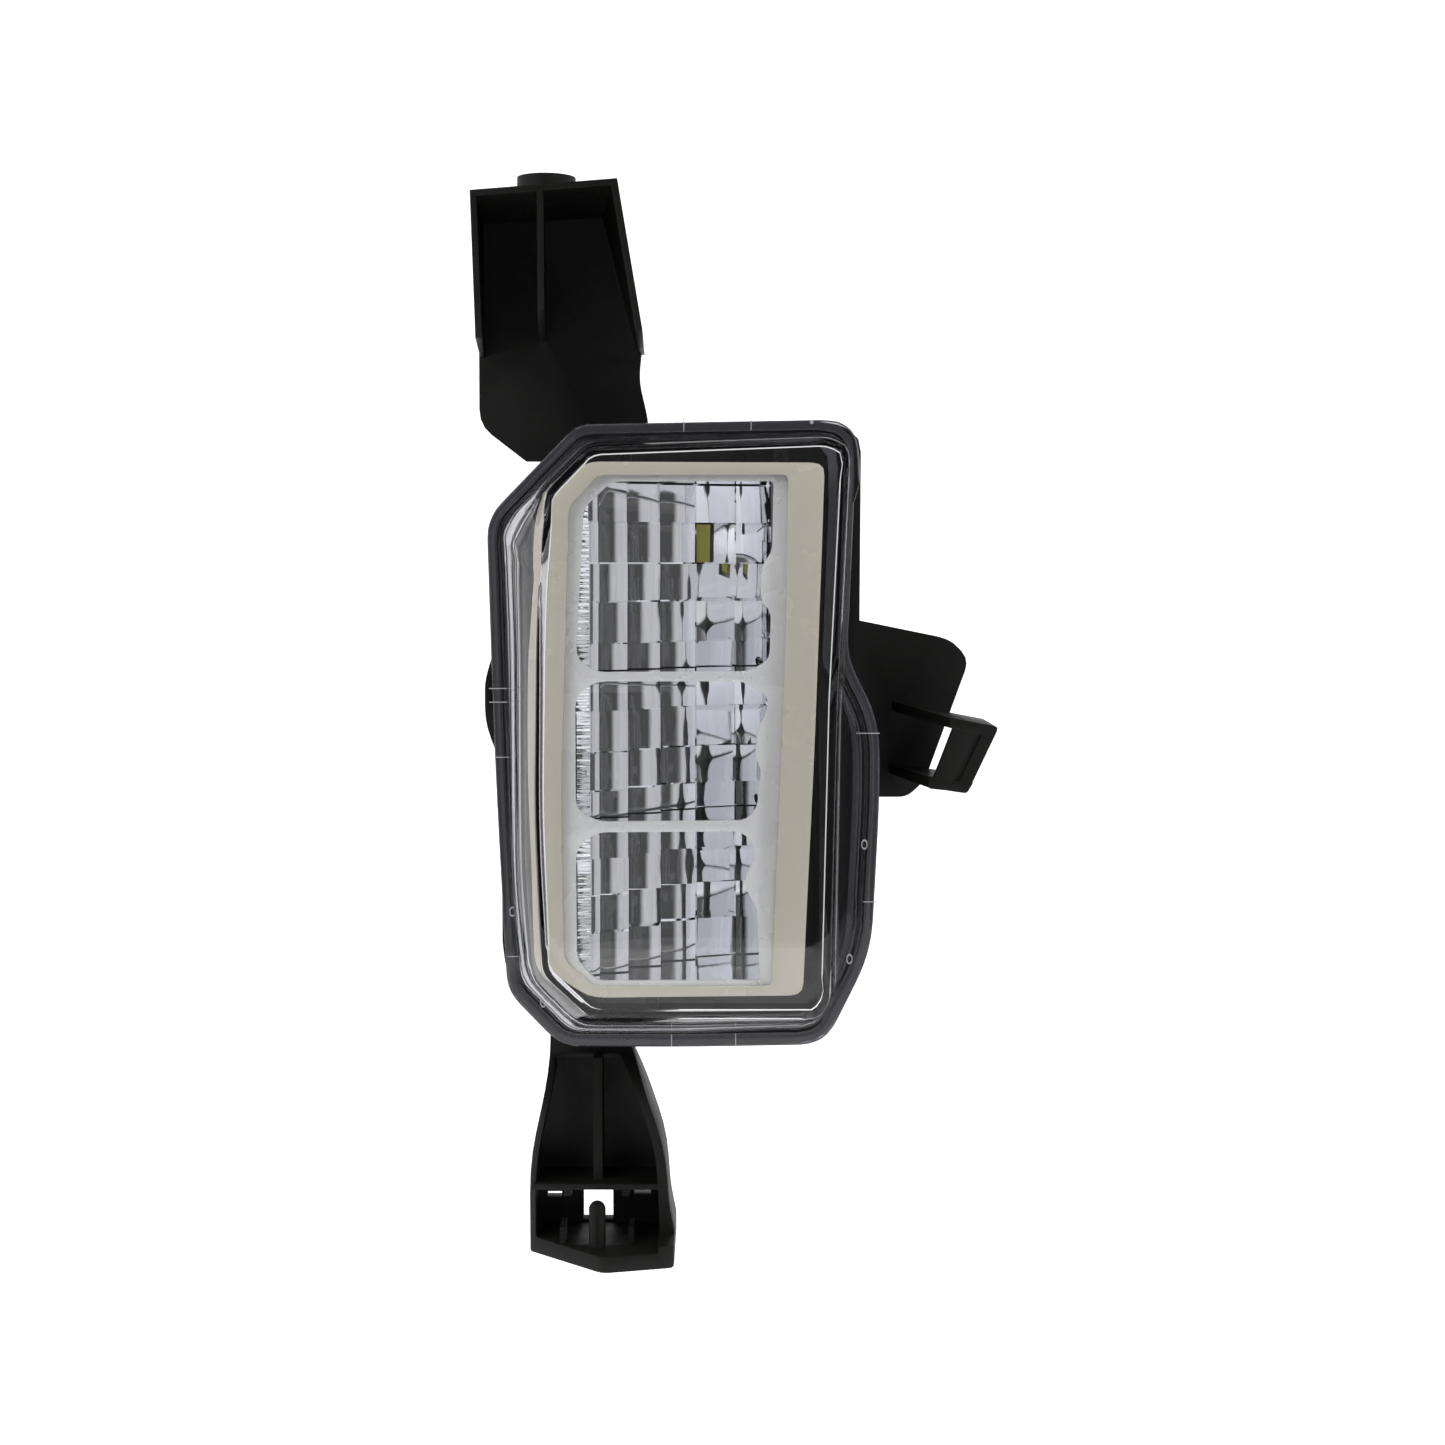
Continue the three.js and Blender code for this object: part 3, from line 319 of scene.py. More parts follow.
# a finish runs between two tones; the patch size of drift and grain is one over the number in metres
finishLooks = {
    "bracketBlack": dict(tone=(0.0045, 0.0052, 0.004), second=(0.007, 0.0078, 0.0065), drift=55,
                         rough=(0.4, 0.56), grain=1900, pits=0.5, bump=0.25, shine=0.22,
                         slots=["black_plastic"]),
    "housingBlack": dict(tone=(0.008, 0.0085, 0.009), second=(0.014, 0.015, 0.016), drift=70,
                         rough=(0.3, 0.45), grain=2600, pits=0.3, bump=0.15, slots=["housing_plastic"]),
    "shellBlackPaintedLight": dict(tone=(0.008, 0.0085, 0.009), second=(0.014, 0.015, 0.016), drift=70,
                       rough=(0.3, 0.45), grain=2600, pits=0.3, bump=0.15,
                       # painted light: outside this band of depths, that is at the housing's front behind
                       # the lens, the black housing is painted a lighter grey standing in for the light
                       # it shows there
                       zone=dict(axis="Y", middle=lampOrigin.y + 0.04, half=0.0345,
                                 tone=(0.075, 0.075, 0.083)),
                       slots=[]),
    "sealRubber": dict(tone=(0.014, 0.014, 0.015), second=(0.025, 0.025, 0.026), drift=120,
                       rough=(0.7, 0.9), grain=1400, pits=0.2, bump=0.3, slots=["seal_rubber"]),
    "pearlCoat": dict(tone=(0.64, 0.60, 0.495), second=(0.66, 0.62, 0.515), drift=40,
                      rough=(0.2, 0.3), grain=5200, pits=0.1, bump=0.05, metal=0.1, coat=0.4,
                      slots=["pearl_trim"]),
    "greyCoat": dict(tone=(0.84, 0.85, 0.845), second=(0.88, 0.89, 0.885), drift=45,
                     rough=(0.22, 0.32), grain=4800, pits=0.1, bump=0.05, metal=0.22,
                     slots=["grey_trim"]),
    "mirrorCoat": dict(tone=(0.90, 0.91, 0.93), second=(0.86, 0.87, 0.90), drift=35,
                       rough=(0.025, 0.06), grain=900, pits=0.0, bump=0.02, metal=1.0,
                       zone=dict(axis="Z", middle=lampOrigin.z - 0.0024, half=0.0619,
                                 tone=(0.012, 0.012, 0.013)),
                       slots=["mirror_coat"]),
    "boardWhite": dict(tone=(0.80, 0.80, 0.77), second=(0.74, 0.74, 0.71), drift=160,
                       rough=(0.35, 0.5), grain=3000, pits=0.1, bump=0.1, slots=["led_board_white"]),
    "boardGreen": dict(tone=(0.02, 0.12, 0.045), second=(0.03, 0.17, 0.06), drift=300,
                       rough=(0.25, 0.4), grain=2200, pits=0.6, bump=0.15, slots=["board_green"]),
    "gapPad": dict(tone=(0.28, 0.30, 0.32), second=(0.34, 0.35, 0.37), drift=200,
                   rough=(0.7, 0.85), grain=1200, pits=0.3, bump=0.3, slots=["thermal_pad_grey"]),
    "castAluminium": dict(tone=(0.44, 0.45, 0.465), second=(0.53, 0.54, 0.55), drift=80,
                          rough=(0.35, 0.55), grain=1600, pits=0.5, bump=0.35, metal=1.0,
                          slots=["aluminium"]),
    "zincSteel": dict(tone=(0.40, 0.41, 0.42), second=(0.52, 0.50, 0.44), drift=260,
                      rough=(0.22, 0.4), grain=2500, pits=0.2, bump=0.12, metal=1.0, brushed=True,
                      slots=["zinc_steel"]),
    "blackOxide": dict(tone=(0.018, 0.018, 0.02), second=(0.03, 0.03, 0.032), drift=260,
                       rough=(0.35, 0.5), grain=2500, pits=0.3, bump=0.12, metal=0.6,
                       slots=["black_steel"]),
    "contactBrass": dict(tone=(0.72, 0.52, 0.24), second=(0.80, 0.68, 0.46), drift=400,
                         rough=(0.2, 0.35), grain=2500, pits=0.1, bump=0.1, metal=1.0, brushed=True,
                         slots=["terminal_brass"]),
    "slickAcetal": dict(tone=(0.78, 0.77, 0.73), second=(0.84, 0.83, 0.80), drift=130,
                        rough=(0.3, 0.42), grain=2200, pits=0.1, bump=0.1, slots=["white_acetal"]),
    "sinteredCore": dict(tone=(0.04, 0.04, 0.045), second=(0.07, 0.07, 0.075), drift=500,
                         rough=(0.5, 0.7), grain=1800, pits=0.6, bump=0.4, slots=["ferrite"]),
    "chipBlack": dict(tone=(0.018, 0.018, 0.02), second=(0.028, 0.028, 0.03), drift=500,
                      rough=(0.45, 0.6), grain=3500, pits=0.4, bump=0.25, slots=["chip_black"]),
    "redLead": dict(tone=(0.38, 0.02, 0.015), second=(0.45, 0.04, 0.03), drift=300,
                    rough=(0.35, 0.5), grain=2600, pits=0.1, bump=0.12, slots=["lead_red"]),
    "blackLead": dict(tone=(0.016, 0.016, 0.017), second=(0.026, 0.026, 0.028), drift=300,
                      rough=(0.35, 0.5), grain=2600, pits=0.1, bump=0.12, slots=["lead_black"]),
    "membraneFilm": dict(tone=(0.78, 0.78, 0.78), second=(0.84, 0.84, 0.84), drift=600,
                         rough=(0.75, 0.9), grain=5200, pits=0.7, bump=0.35,
                         slots=["membrane_white"]),
    "markFrost": dict(tone=(0.34, 0.34, 0.37), second=(0.44, 0.44, 0.47), drift=300,
                      rough=(0.12, 0.2), grain=3000, pits=0.1, bump=0.05, slots=[]),
    "phosphorYellow": dict(tone=(0.74, 0.74, 0.12), second=(0.80, 0.78, 0.20), drift=900,
                           rough=(0.4, 0.55), grain=9000, pits=0.4, bump=0.2, slots=["led_phosphor"]),
}
finishes = {}


def addZone(tree, shader, zone, color):
    # beyond a distance from a middle place along one axis, the surface takes another tone; on the housing
    # this is painted light, a lighter grey standing in for the black plastic lit through the lens, and on
    # the reflector it is near black and not metal past the cells
    place = tree.nodes.new("ShaderNodeTexCoord")
    axes = tree.nodes.new("ShaderNodeSeparateXYZ")
    shift = tree.nodes.new("ShaderNodeMath")
    shift.operation = "SUBTRACT"
    shift.inputs[1].default_value = zone["middle"]
    size = tree.nodes.new("ShaderNodeMath")
    size.operation = "ABSOLUTE"
    mask = tree.nodes.new("ShaderNodeMath")
    mask.operation = "GREATER_THAN"
    mask.inputs[1].default_value = zone["half"]
    mix = tree.nodes.new("ShaderNodeMix")
    mix.data_type = "RGBA"
    mix.inputs["B"].default_value = (*zone["tone"], 1)
    tree.links.new(place.outputs["Object"], axes.inputs["Vector"])
    tree.links.new(axes.outputs[zone["axis"]], shift.inputs[0])
    tree.links.new(shift.outputs["Value"], size.inputs[0])
    tree.links.new(size.outputs["Value"], mask.inputs[0])
    tree.links.new(mask.outputs["Value"], mix.inputs["Factor"])
    tree.links.new(color, mix.inputs["A"])
    tree.links.new(mix.outputs["Result"], shader.inputs["Base Color"])
    metal = tree.nodes.new("ShaderNodeMapRange")
    metal.inputs["To Min"].default_value = shader.inputs["Metallic"].default_value
    metal.inputs["To Max"].default_value = 0
    tree.links.new(mask.outputs["Value"], metal.inputs["Value"])
    tree.links.new(metal.outputs["Result"], shader.inputs["Metallic"])


def makeFinish(name, look, groups):
    material = bpy.data.materials.new(name)
    material.use_nodes = True
    tree = material.node_tree
    shader = tree.nodes["Principled BSDF"]
    shader.inputs["Metallic"].default_value = look.get("metal", 0.0)
    shader.inputs["Coat Weight"].default_value = look.get("coat", 0.0)
    shader.inputs["Specular IOR Level"].default_value = look.get("shine", 0.5)

    tone = tree.nodes.new("ShaderNodeGroup")
    tone.node_tree = groups["tone"]
    tone.inputs["Tone"].default_value = (*look["tone"], 1)
    tone.inputs["Second Tone"].default_value = (*look["second"], 1)
    tone.inputs["Scale"].default_value = look["drift"]
    tree.links.new(tone.outputs["Color"], shader.inputs["Base Color"])
    if "zone" in look:
        addZone(tree, shader, look["zone"], tone.outputs["Color"])

    grain = tree.nodes.new("ShaderNodeGroup")
    grain.node_tree = groups["grain"]
    grain.inputs["Scale"].default_value = look["grain"]
    grain.inputs["Pits"].default_value = look["pits"]
    rough = tree.nodes.new("ShaderNodeMapRange")
    rough.inputs["From Min"].default_value = 0.3
    rough.inputs["From Max"].default_value = 0.7
    rough.inputs["To Min"].default_value = look["rough"][0]
    rough.inputs["To Max"].default_value = look["rough"][1]
    tree.links.new(grain.outputs["Mask"], rough.inputs["Value"])
    tree.links.new(rough.outputs["Result"], shader.inputs["Roughness"])

    bump = tree.nodes.new("ShaderNodeBump")
    bump.inputs["Strength"].default_value = look["bump"]
    bump.inputs["Distance"].default_value = 0.00012
    height = grain.outputs["Height"]
    if look.get("brushed"):
        lines = tree.nodes.new("ShaderNodeGroup")
        lines.node_tree = groups["lines"]
        height = lines.outputs["Height"]
    tree.links.new(height, bump.inputs["Height"])
    tree.links.new(bump.outputs["Normal"], shader.inputs["Normal"])
    return material


lensLook = {
    "tint": (0.97, 0.968, 0.985),
    "smoke": (0.62, 0.62, 0.66),      # the welded flange is darker than the dome
    "smokeStart": -0.0006,            # depth behind the flange's front face
    "rough": 0.012,
    "ior": 1.57,
    "ripple": 0.02,
}


def makeLensClear():
    # clear plastic that lets light rays straight through to what lies behind it
    material = bpy.data.materials.new("lensClear")
    material.use_nodes = True
    tree = material.node_tree
    shader = tree.nodes["Principled BSDF"]
    output = tree.nodes["Material Output"]
    shader.inputs["Roughness"].default_value = lensLook["rough"]
    shader.inputs["IOR"].default_value = lensLook["ior"]
    shader.inputs["Transmission Weight"].default_value = 1.0
    place = tree.nodes.new("ShaderNodeTexCoord")
    noise = tree.nodes.new("ShaderNodeTexNoise")
    noise.inputs["Scale"].default_value = 45
    bump = tree.nodes.new("ShaderNodeBump")
    bump.inputs["Strength"].default_value = lensLook["ripple"]
    bump.inputs["Distance"].default_value = 0.0005
    tree.links.new(place.outputs["Object"], noise.inputs["Vector"])
    tree.links.new(noise.outputs["Fac"], bump.inputs["Height"])
    tree.links.new(bump.outputs["Normal"], shader.inputs["Normal"])
    axes = tree.nodes.new("ShaderNodeSeparateXYZ")
    depth = tree.nodes.new("ShaderNodeMapRange")
    depth.inputs["From Min"].default_value = lampOrigin.y + lensLook["smokeStart"]
    depth.inputs["From Max"].default_value = lampOrigin.y - lensLook["smokeStart"] * 0.2
    tone = tree.nodes.new("ShaderNodeMix")
    tone.data_type = "RGBA"
    tone.inputs["A"].default_value = (*lensLook["tint"], 1)
    tone.inputs["B"].default_value = (*lensLook["smoke"], 1)
    tree.links.new(place.outputs["Object"], axes.inputs["Vector"])
    tree.links.new(axes.outputs["Y"], depth.inputs["Value"])
    tree.links.new(depth.outputs["Result"], tone.inputs["Factor"])
    tree.links.new(tone.outputs["Result"], shader.inputs["Base Color"])
    through = tree.nodes.new("ShaderNodeBsdfTransparent")
    rays = tree.nodes.new("ShaderNodeLightPath")
    mix = tree.nodes.new("ShaderNodeMixShader")
    tree.links.new(rays.outputs["Is Shadow Ray"], mix.inputs["Fac"])
    tree.links.new(shader.outputs["BSDF"], mix.inputs[1])
    tree.links.new(through.outputs["BSDF"], mix.inputs[2])
    tree.links.new(mix.outputs["Shader"], output.inputs["Surface"])
    return material


def makeFinishes():
    groups = {"tone": makeToneDrift(), "grain": makeGrain(), "lines": makeBrushLines()}
    for name, look in finishLooks.items():
        finishes[name] = makeFinish(name, look, groups)
    finishes["lensClear"] = makeLensClear()
    slotFinish = {slot: name for name, look in finishLooks.items() for slot in look["slots"]}
    slotFinish["clear_lens"] = "lensClear"
    for part in frame["record"]["subparts"]:
        node = nodes[part["node"]]
        node.data.materials.clear()
        node.data.materials.append(finishes[slotFinish[part["material_slot"]]])
    # the housing takes the black finish with painted light at its front
    nodes["housing"].data.materials[0] = finishes["shellBlackPaintedLight"]


def finishPiece(piece, body, finish, replaced=()):
    piece.data.materials.clear()
    piece.data.materials.append(finishes[finish])
    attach(piece, body)
    if replaced:
        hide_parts(*replaced)


def paintBehind(piece, finish, depth):
    # faces deeper than the given place get their own finish
    piece.data.materials.append(finishes[finish])
    for face in piece.data.polygons:
        if face.center.y > lampOrigin.y + depth * mm:
            face.material_index = len(piece.data.materials) - 1


def roundedCopy(nodeName, pieceName, edgeWidth, segments=2, sharpness=32):
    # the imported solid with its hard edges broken, as a moulding has them
    source = nodes[nodeName]
    clearSelection()
    piece = source.copy()
    piece.data = source.data.copy()
    piece.name = pieceName
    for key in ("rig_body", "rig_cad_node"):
        if key in piece:
            del piece[key]
    piece.parent = None
    bpy.context.scene.collection.objects.link(piece)
    pick(piece)
    bpy.ops.mesh.customdata_custom_splitnormals_clear()
    bpy.ops.object.mode_set(mode="EDIT")
    bpy.ops.mesh.select_all(action="SELECT")
    bpy.ops.mesh.remove_doubles(threshold=0.000004)
    bpy.ops.mesh.dissolve_limited(angle_limit=math.radians(0.05))
    bpy.ops.mesh.select_all(action="SELECT")
    bpy.ops.mesh.quads_convert_to_tris(ngon_method="BEAUTY")
    bpy.ops.object.mode_set(mode="OBJECT")
    edges = piece.modifiers.new("edgeBreak", "BEVEL")
    edges.width = edgeWidth
    edges.segments = segments
    edges.limit_method = "ANGLE"
    edges.angle_limit = math.radians(sharpness)
    edges.use_clamp_overlap = True
    edges.miter_outer = "MITER_ARC"
    bpy.ops.object.modifier_apply(modifier=edges.name)
    bpy.ops.object.shade_smooth_by_angle(angle=math.radians(34))
    return piece


edgeBreaks = {
    "bracket": 0.00035,
    "socket": 0.0003,
    "heatSink": 0.0003,
    "bezel": 0.0005,
    "innerFrame": 0.0004,
}
coatEnds = -0.9             # behind this depth the bezel's moulding is left black


def makeBracket():
    bracket = roundedCopy("mounting_bracket", "bracketMoulding", edgeBreaks["bracket"])
    finishPiece(bracket, "bracket", "bracketBlack", ["mounting_bracket"])


def makeShell():
    socket = roundedCopy("connector_socket", "plugSocket", edgeBreaks["socket"])
    finishPiece(socket, "lamp", "housingBlack", ["connector_socket"])
    sink = roundedCopy("heat_sink", "coolingFins", edgeBreaks["heatSink"])
    finishPiece(sink, "lamp", "castAluminium", ["heat_sink"])


backRibs = {
    "bottom": 48.9,         # just inside the back wall
    "top": 50.1,
    "edge": 0.3,
    "thick": 1.3,
    "left": -42.6,
    "right": -9.6,
    "high": 47.6,
    "acrossAt": [-51, -24.5, 12.5, 47.6],
    "upFrom": [(-42.6, -24.5), (-9.6, -51)],    # the left one stops above the socket
    "ringAt": (-28, 34, 10.2),                  # round the vent
}


def addRib(name, low, high):
    clearSelection()
    size = [b - a for a, b in zip(low, high)]
    centre = [(a + b) / 2 for a, b in zip(low, high)]
    bpy.ops.mesh.primitive_cube_add(size=1, location=lampPoint(*centre))
    rib = bpy.context.object
    rib.name = name
    rib.scale = [side * mm for side in size]
    bpy.ops.object.transform_apply(location=True, rotation=True, scale=True)
    pickFaces(rib, lambda face: face.normal.y > 0.9)
    bpy.ops.object.mode_set(mode="EDIT")
    bpy.ops.transform.resize(value=(0.985, 1, 0.985), center_override=lampPoint(*centre))
    bpy.ops.object.mode_set(mode="OBJECT")
    edges = rib.modifiers.new("edgeBreak", "BEVEL")
    edges.width = backRibs["edge"] * mm
    edges.segments = 3
    bpy.ops.object.modifier_apply(modifier=edges.name)
    bpy.ops.object.shade_smooth_by_angle(angle=math.radians(40))
    finishPiece(rib, "lamp", "housingBlack")


def makeBackRibs():
    look = backRibs
    bottom = look["bottom"]
    top = look["top"]
    half = look["thick"] / 2
    left = look["left"]
    right = look["right"]
    for number, z in enumerate(look["acrossAt"]):
        addRib(f"backRibAcross{number + 1}", (left, bottom, z - half), (right, top, z + half))
    for number, (x, low) in enumerate(look["upFrom"]):
        ends = (low - half, look["high"] + half)
        addRib(f"backRibUp{number + 1}", (x - half, bottom, ends[0]), (x + half, top, ends[1]))
    x, z, radius = look["ringAt"]
    clearSelection()
    bpy.ops.mesh.primitive_cylinder_add(
        vertices=64, radius=radius * mm, depth=(top - bottom) * mm, end_fill_type="NGON",
        location=lampPoint(x, (top + bottom) / 2, z), rotation=(math.radians(90), 0, 0))
    ring = bpy.context.object
    ring.name = "ventGuardRing"
    bpy.ops.object.transform_apply(location=True, rotation=True, scale=True)
    pickFaces(ring, lambda face: abs(face.normal.y) > 0.9)
    bpy.ops.object.mode_set(mode="EDIT")
    bpy.ops.mesh.select_mode(type="FACE")
    bpy.ops.mesh.inset(thickness=look["thick"] * mm)
    bpy.ops.mesh.bridge_edge_loops()
    bpy.ops.mesh.select_all(action="SELECT")
    bpy.ops.mesh.normals_make_consistent(inside=False)
    bpy.ops.object.mode_set(mode="OBJECT")
    edges = ring.modifiers.new("edgeBreak", "BEVEL")
    edges.width = look["edge"] * mm
    edges.segments = 3
    edges.limit_method = "ANGLE"
    bpy.ops.object.modifier_apply(modifier=edges.name)
    bpy.ops.object.shade_smooth_by_angle(angle=math.radians(40))
    finishPiece(ring, "lamp", "housingBlack")


# outlines of the lens, clockwise from the top left: across, up, corner radius
flangeEdge = [
    (-34.6, 71.2, 3), (32.2, 72.4, 9), (33, 54.9, 0.4), (31.4, 54.7, 0.4), (30, 15.5, 5),
    (37.8, 0.5, 9), (38, -18, 12), (36.2, -56, 8), (25, -78.8, 6), (-8, -79.4, 10),
    (-39.4, -79.3, 5), (-52.4, -65.6, 4), (-55, -8, 20), (-56.4, 49, 5),
]
rimEdge = [corner for corner in flangeEdge if corner[2] != 0.4]
domeBase = [
    (-32.8, 67.4, 2), (26.5, 68.8, 2), (30.6, 65, 2), (28.2, 0, 0), (27.3, -66, 3), (22.5, -74, 3),
    (-8, -75.2, 0), (-37, -75.2, 3), (-48.8, -63, 3), (-51, -40, 9), (-51.4, 20, 9),
    (-52.3, 46, 2), (-49.8, 50.3, 2),
]
domeFront = [
    (-30.7, 65.1, 2.5), (24.3, 67.2, 2), (28.6, 65.3, 1.5), (29.4, 62.5, 1.5), (26.8, 6.5, 0),
    (25.3, -64.6, 2), (22.7, -68.7, 2), (-31.2, -68.7, 2.5), (-42.6, -58, 2.5), (-44, -18.7, 9),
    (-43.2, 24.2, 9), (-41.1, 54.4, 2.5),
]


def roundCorners(corners, steps=4):
    points = []
    for number, (x, z, radius) in enumerate(corners):
        here = Vector((x, z))
        back = Vector(corners[number - 1][:2]) - here
        ahead = Vector(corners[(number + 1) % len(corners)][:2]) - here
        reach = min(radius, back.length * 0.45, ahead.length * 0.45)
        start = here + back.normalized() * reach
        end = here + ahead.normalized() * reach
        if reach == 0:
            points.append(here)
            continue
        for step in range(steps + 1):
            t = step / steps
            points.append(start * (1 - t) ** 2 + here * (2 * t * (1 - t)) + end * t ** 2)
    return points


def outlineReach(points, inset, heart, count):
    # distance from the heart to the outline in each of count directions, less the inset
    reaches = []
    for number in range(count):
        angle = 2 * math.pi * number / count
        ray = Vector((math.cos(angle), math.sin(angle)))
        best = 0
        bestLean = 1                # how squarely the ray meets the outline
        for index, a in enumerate(points):
            edge = points[(index + 1) % len(points)] - a
            cross = ray.x * edge.y - ray.y * edge.x
            if abs(cross) < 1e-9:
                continue
            offset = a - heart
            along = (offset.x * ray.y - offset.y * ray.x) / cross
            far = (offset.x * edge.y - offset.y * edge.x) / cross
            if -1e-6 <= along <= 1 + 1e-6 and far > best:
                best = far
                bestLean = abs(cross) / edge.length
        reaches.append(best - inset / max(bestLean, 0.35))
    return reaches


lensShape = {
    "heart": (-10, -4),     # a point well inside every outline
    "points": 288,
    "wall": 1.9,
    "front": -16.4,
    "back": 3.0,
    "ridges": (1.6, 3.0, 4.4),     # places of the fine steps, inwards from the flange's edge
    "ridgeRise": 0.07,
    "skirt": (2.3, 4.2, 7.6),      # outer inset, inner inset, end
}


def lensLoops():
    # from the middle of the inner face, round the wall, to the middle of the outer face
    shape = lensShape
    heart = Vector(shape["heart"])
    count = shape["points"]
    flange = roundCorners(flangeEdge)
    rim = roundCorners(rimEdge)
    base = roundCorners(domeBase)
    front = roundCorners(domeFront)

    def reach(outline, inset):
        return outlineReach(outline, inset, heart, count)

    def between(share, inset):
        low = reach(base, inset)
        high = reach(front, inset)
        return [a + (b - a) * share for a, b in zip(low, high)]

    wall = shape["wall"]
    top = shape["front"]
    loops = [
        (between(1, wall + 4), top + wall),
        (between(1, wall + 0.25), top + wall + 0.02),
        (between(0.985, wall), top + wall + 0.3),
        (between(0.5, wall), top * 0.5 + 0.6),
        (between(0.08, wall), 0.6),
        (between(0.0, wall), shape["back"]),
        (reach(rim, shape["skirt"][1]), shape["back"]),
        (reach(rim, shape["skirt"][1]), shape["skirt"][2]),
        (reach(rim, shape["skirt"][0]), shape["skirt"][2]),
        (reach(rim, shape["skirt"][0]), shape["back"]),
        (reach(flange, 0.35), shape["back"]),
        (reach(flange, 0.05), shape["back"] - 0.25),
        (reach(flange, 0.0), shape["back"] - 0.7),
        (reach(flange, 0.0), 0.7),
        (reach(flange, 0.06), 0.3),
        (reach(flange, 0.4), 0.02),
    ]
    for place in shape["ridges"]:
        rise = -shape["ridgeRise"]
        loops += [
            (reach(rim, place), 0.0),
            (reach(rim, place + 0.14), rise),
            (reach(rim, place + 0.5), rise),
            (reach(rim, place + 0.64), 0.0),
        ]
    loops += [
        (between(0, -0.7), 0.0),
        (between(0, -0.2), -0.12),
        (between(0, 0), -0.7),
        (between(0.25, 0), top * 0.27),
        (between(0.5, 0), top * 0.52),
        (between(0.75, 0), top * 0.76),
        (between(0.98, 0), top + 0.5),
        (between(1, 0.08), top + 0.22),
        (between(1, 0.25), top + 0.06),
        (between(1, 0.6), top),
        (between(1, 6), top),
    ]
    return loops


def moveToLoop(piece, loop, heart, count):
    # puts the selected ring of points on the next outline, each along its own ray
    reaches, depth = loop
    for vertex in piece.data.vertices:
        if not vertex.select:
            continue
        local = (vertex.co - lampOrigin) / mm
        angle = math.atan2(local.z - heart[1], local.x - heart[0])
        number = round(angle / (2 * math.pi) * count) % count
        turn = 2 * math.pi * number / count
        reach = reaches[number]
        vertex.co = lampPoint(heart[0] + math.cos(turn) * reach, depth, heart[1] + math.sin(turn) * reach)


def makeLens():
    heart = lensShape["heart"]
    count = lensShape["points"]
    clearSelection()
    bpy.ops.mesh.primitive_circle_add(
        vertices=count, radius=0.02, fill_type="NGON",
        location=lampPoint(heart[0], 0, heart[1]), rotation=(math.radians(90), 0, 0))
    lens = bpy.context.object
    lens.name = "frontLens"
    bpy.ops.object.transform_apply(location=True, rotation=True, scale=True)
    for number, loop in enumerate(lensLoops()):
        if number > 0:
            bpy.ops.object.mode_set(mode="EDIT")
            bpy.ops.mesh.select_mode(type="FACE")
            bpy.ops.mesh.extrude_region_move()
            bpy.ops.object.mode_set(mode="OBJECT")
        moveToLoop(lens, loop, heart, count)
    bpy.ops.object.mode_set(mode="EDIT")
    bpy.ops.mesh.select_all(action="SELECT")
    bpy.ops.mesh.normals_make_consistent(inside=False)
    bpy.ops.object.mode_set(mode="OBJECT")
    bpy.ops.object.shade_smooth_by_angle(angle=math.radians(28))
    finishPiece(lens, "lamp", "lensClear", ["lens"])


flangeMarks = {
    "ribSize": (0.22, 0.16),        # width and rise of a joint line across the flange
    "ribs": [
        # across, up, length, degrees
        (-9.2, 71.0, 3.2, 90), (6.8, 71.3, 3.2, 90), (-53.2, -8.4, 3.4, 0), (35.0, -2.6, 5.6, 0),
        (36.0, -43.6, 4.0, 0), (-50.6, -57.0, 3.2, 0), (-12.4, -77.6, 3.0, 90), (3.2, -77.4, 3.0, 90),
        (-53.9, 8.2, 4.4, 0), (-53.9, 4.9, 4.4, 0), (-48.2, 8.0, 2.6, 0), (-48.2, 5.2, 2.6, 0),
    ],
    "loops": [(-50.9, -46.0), (-43.6, -68.3), (30.8, -57.6), (34.3, -29.6)],     # ejector pin marks
    "loopSize": (0.85, 0.17),
    "dots": [(-9.4, -74.4), (-4.4, -74.4), (21.2, 71.6)],
    "dotSize": 0.45,
}


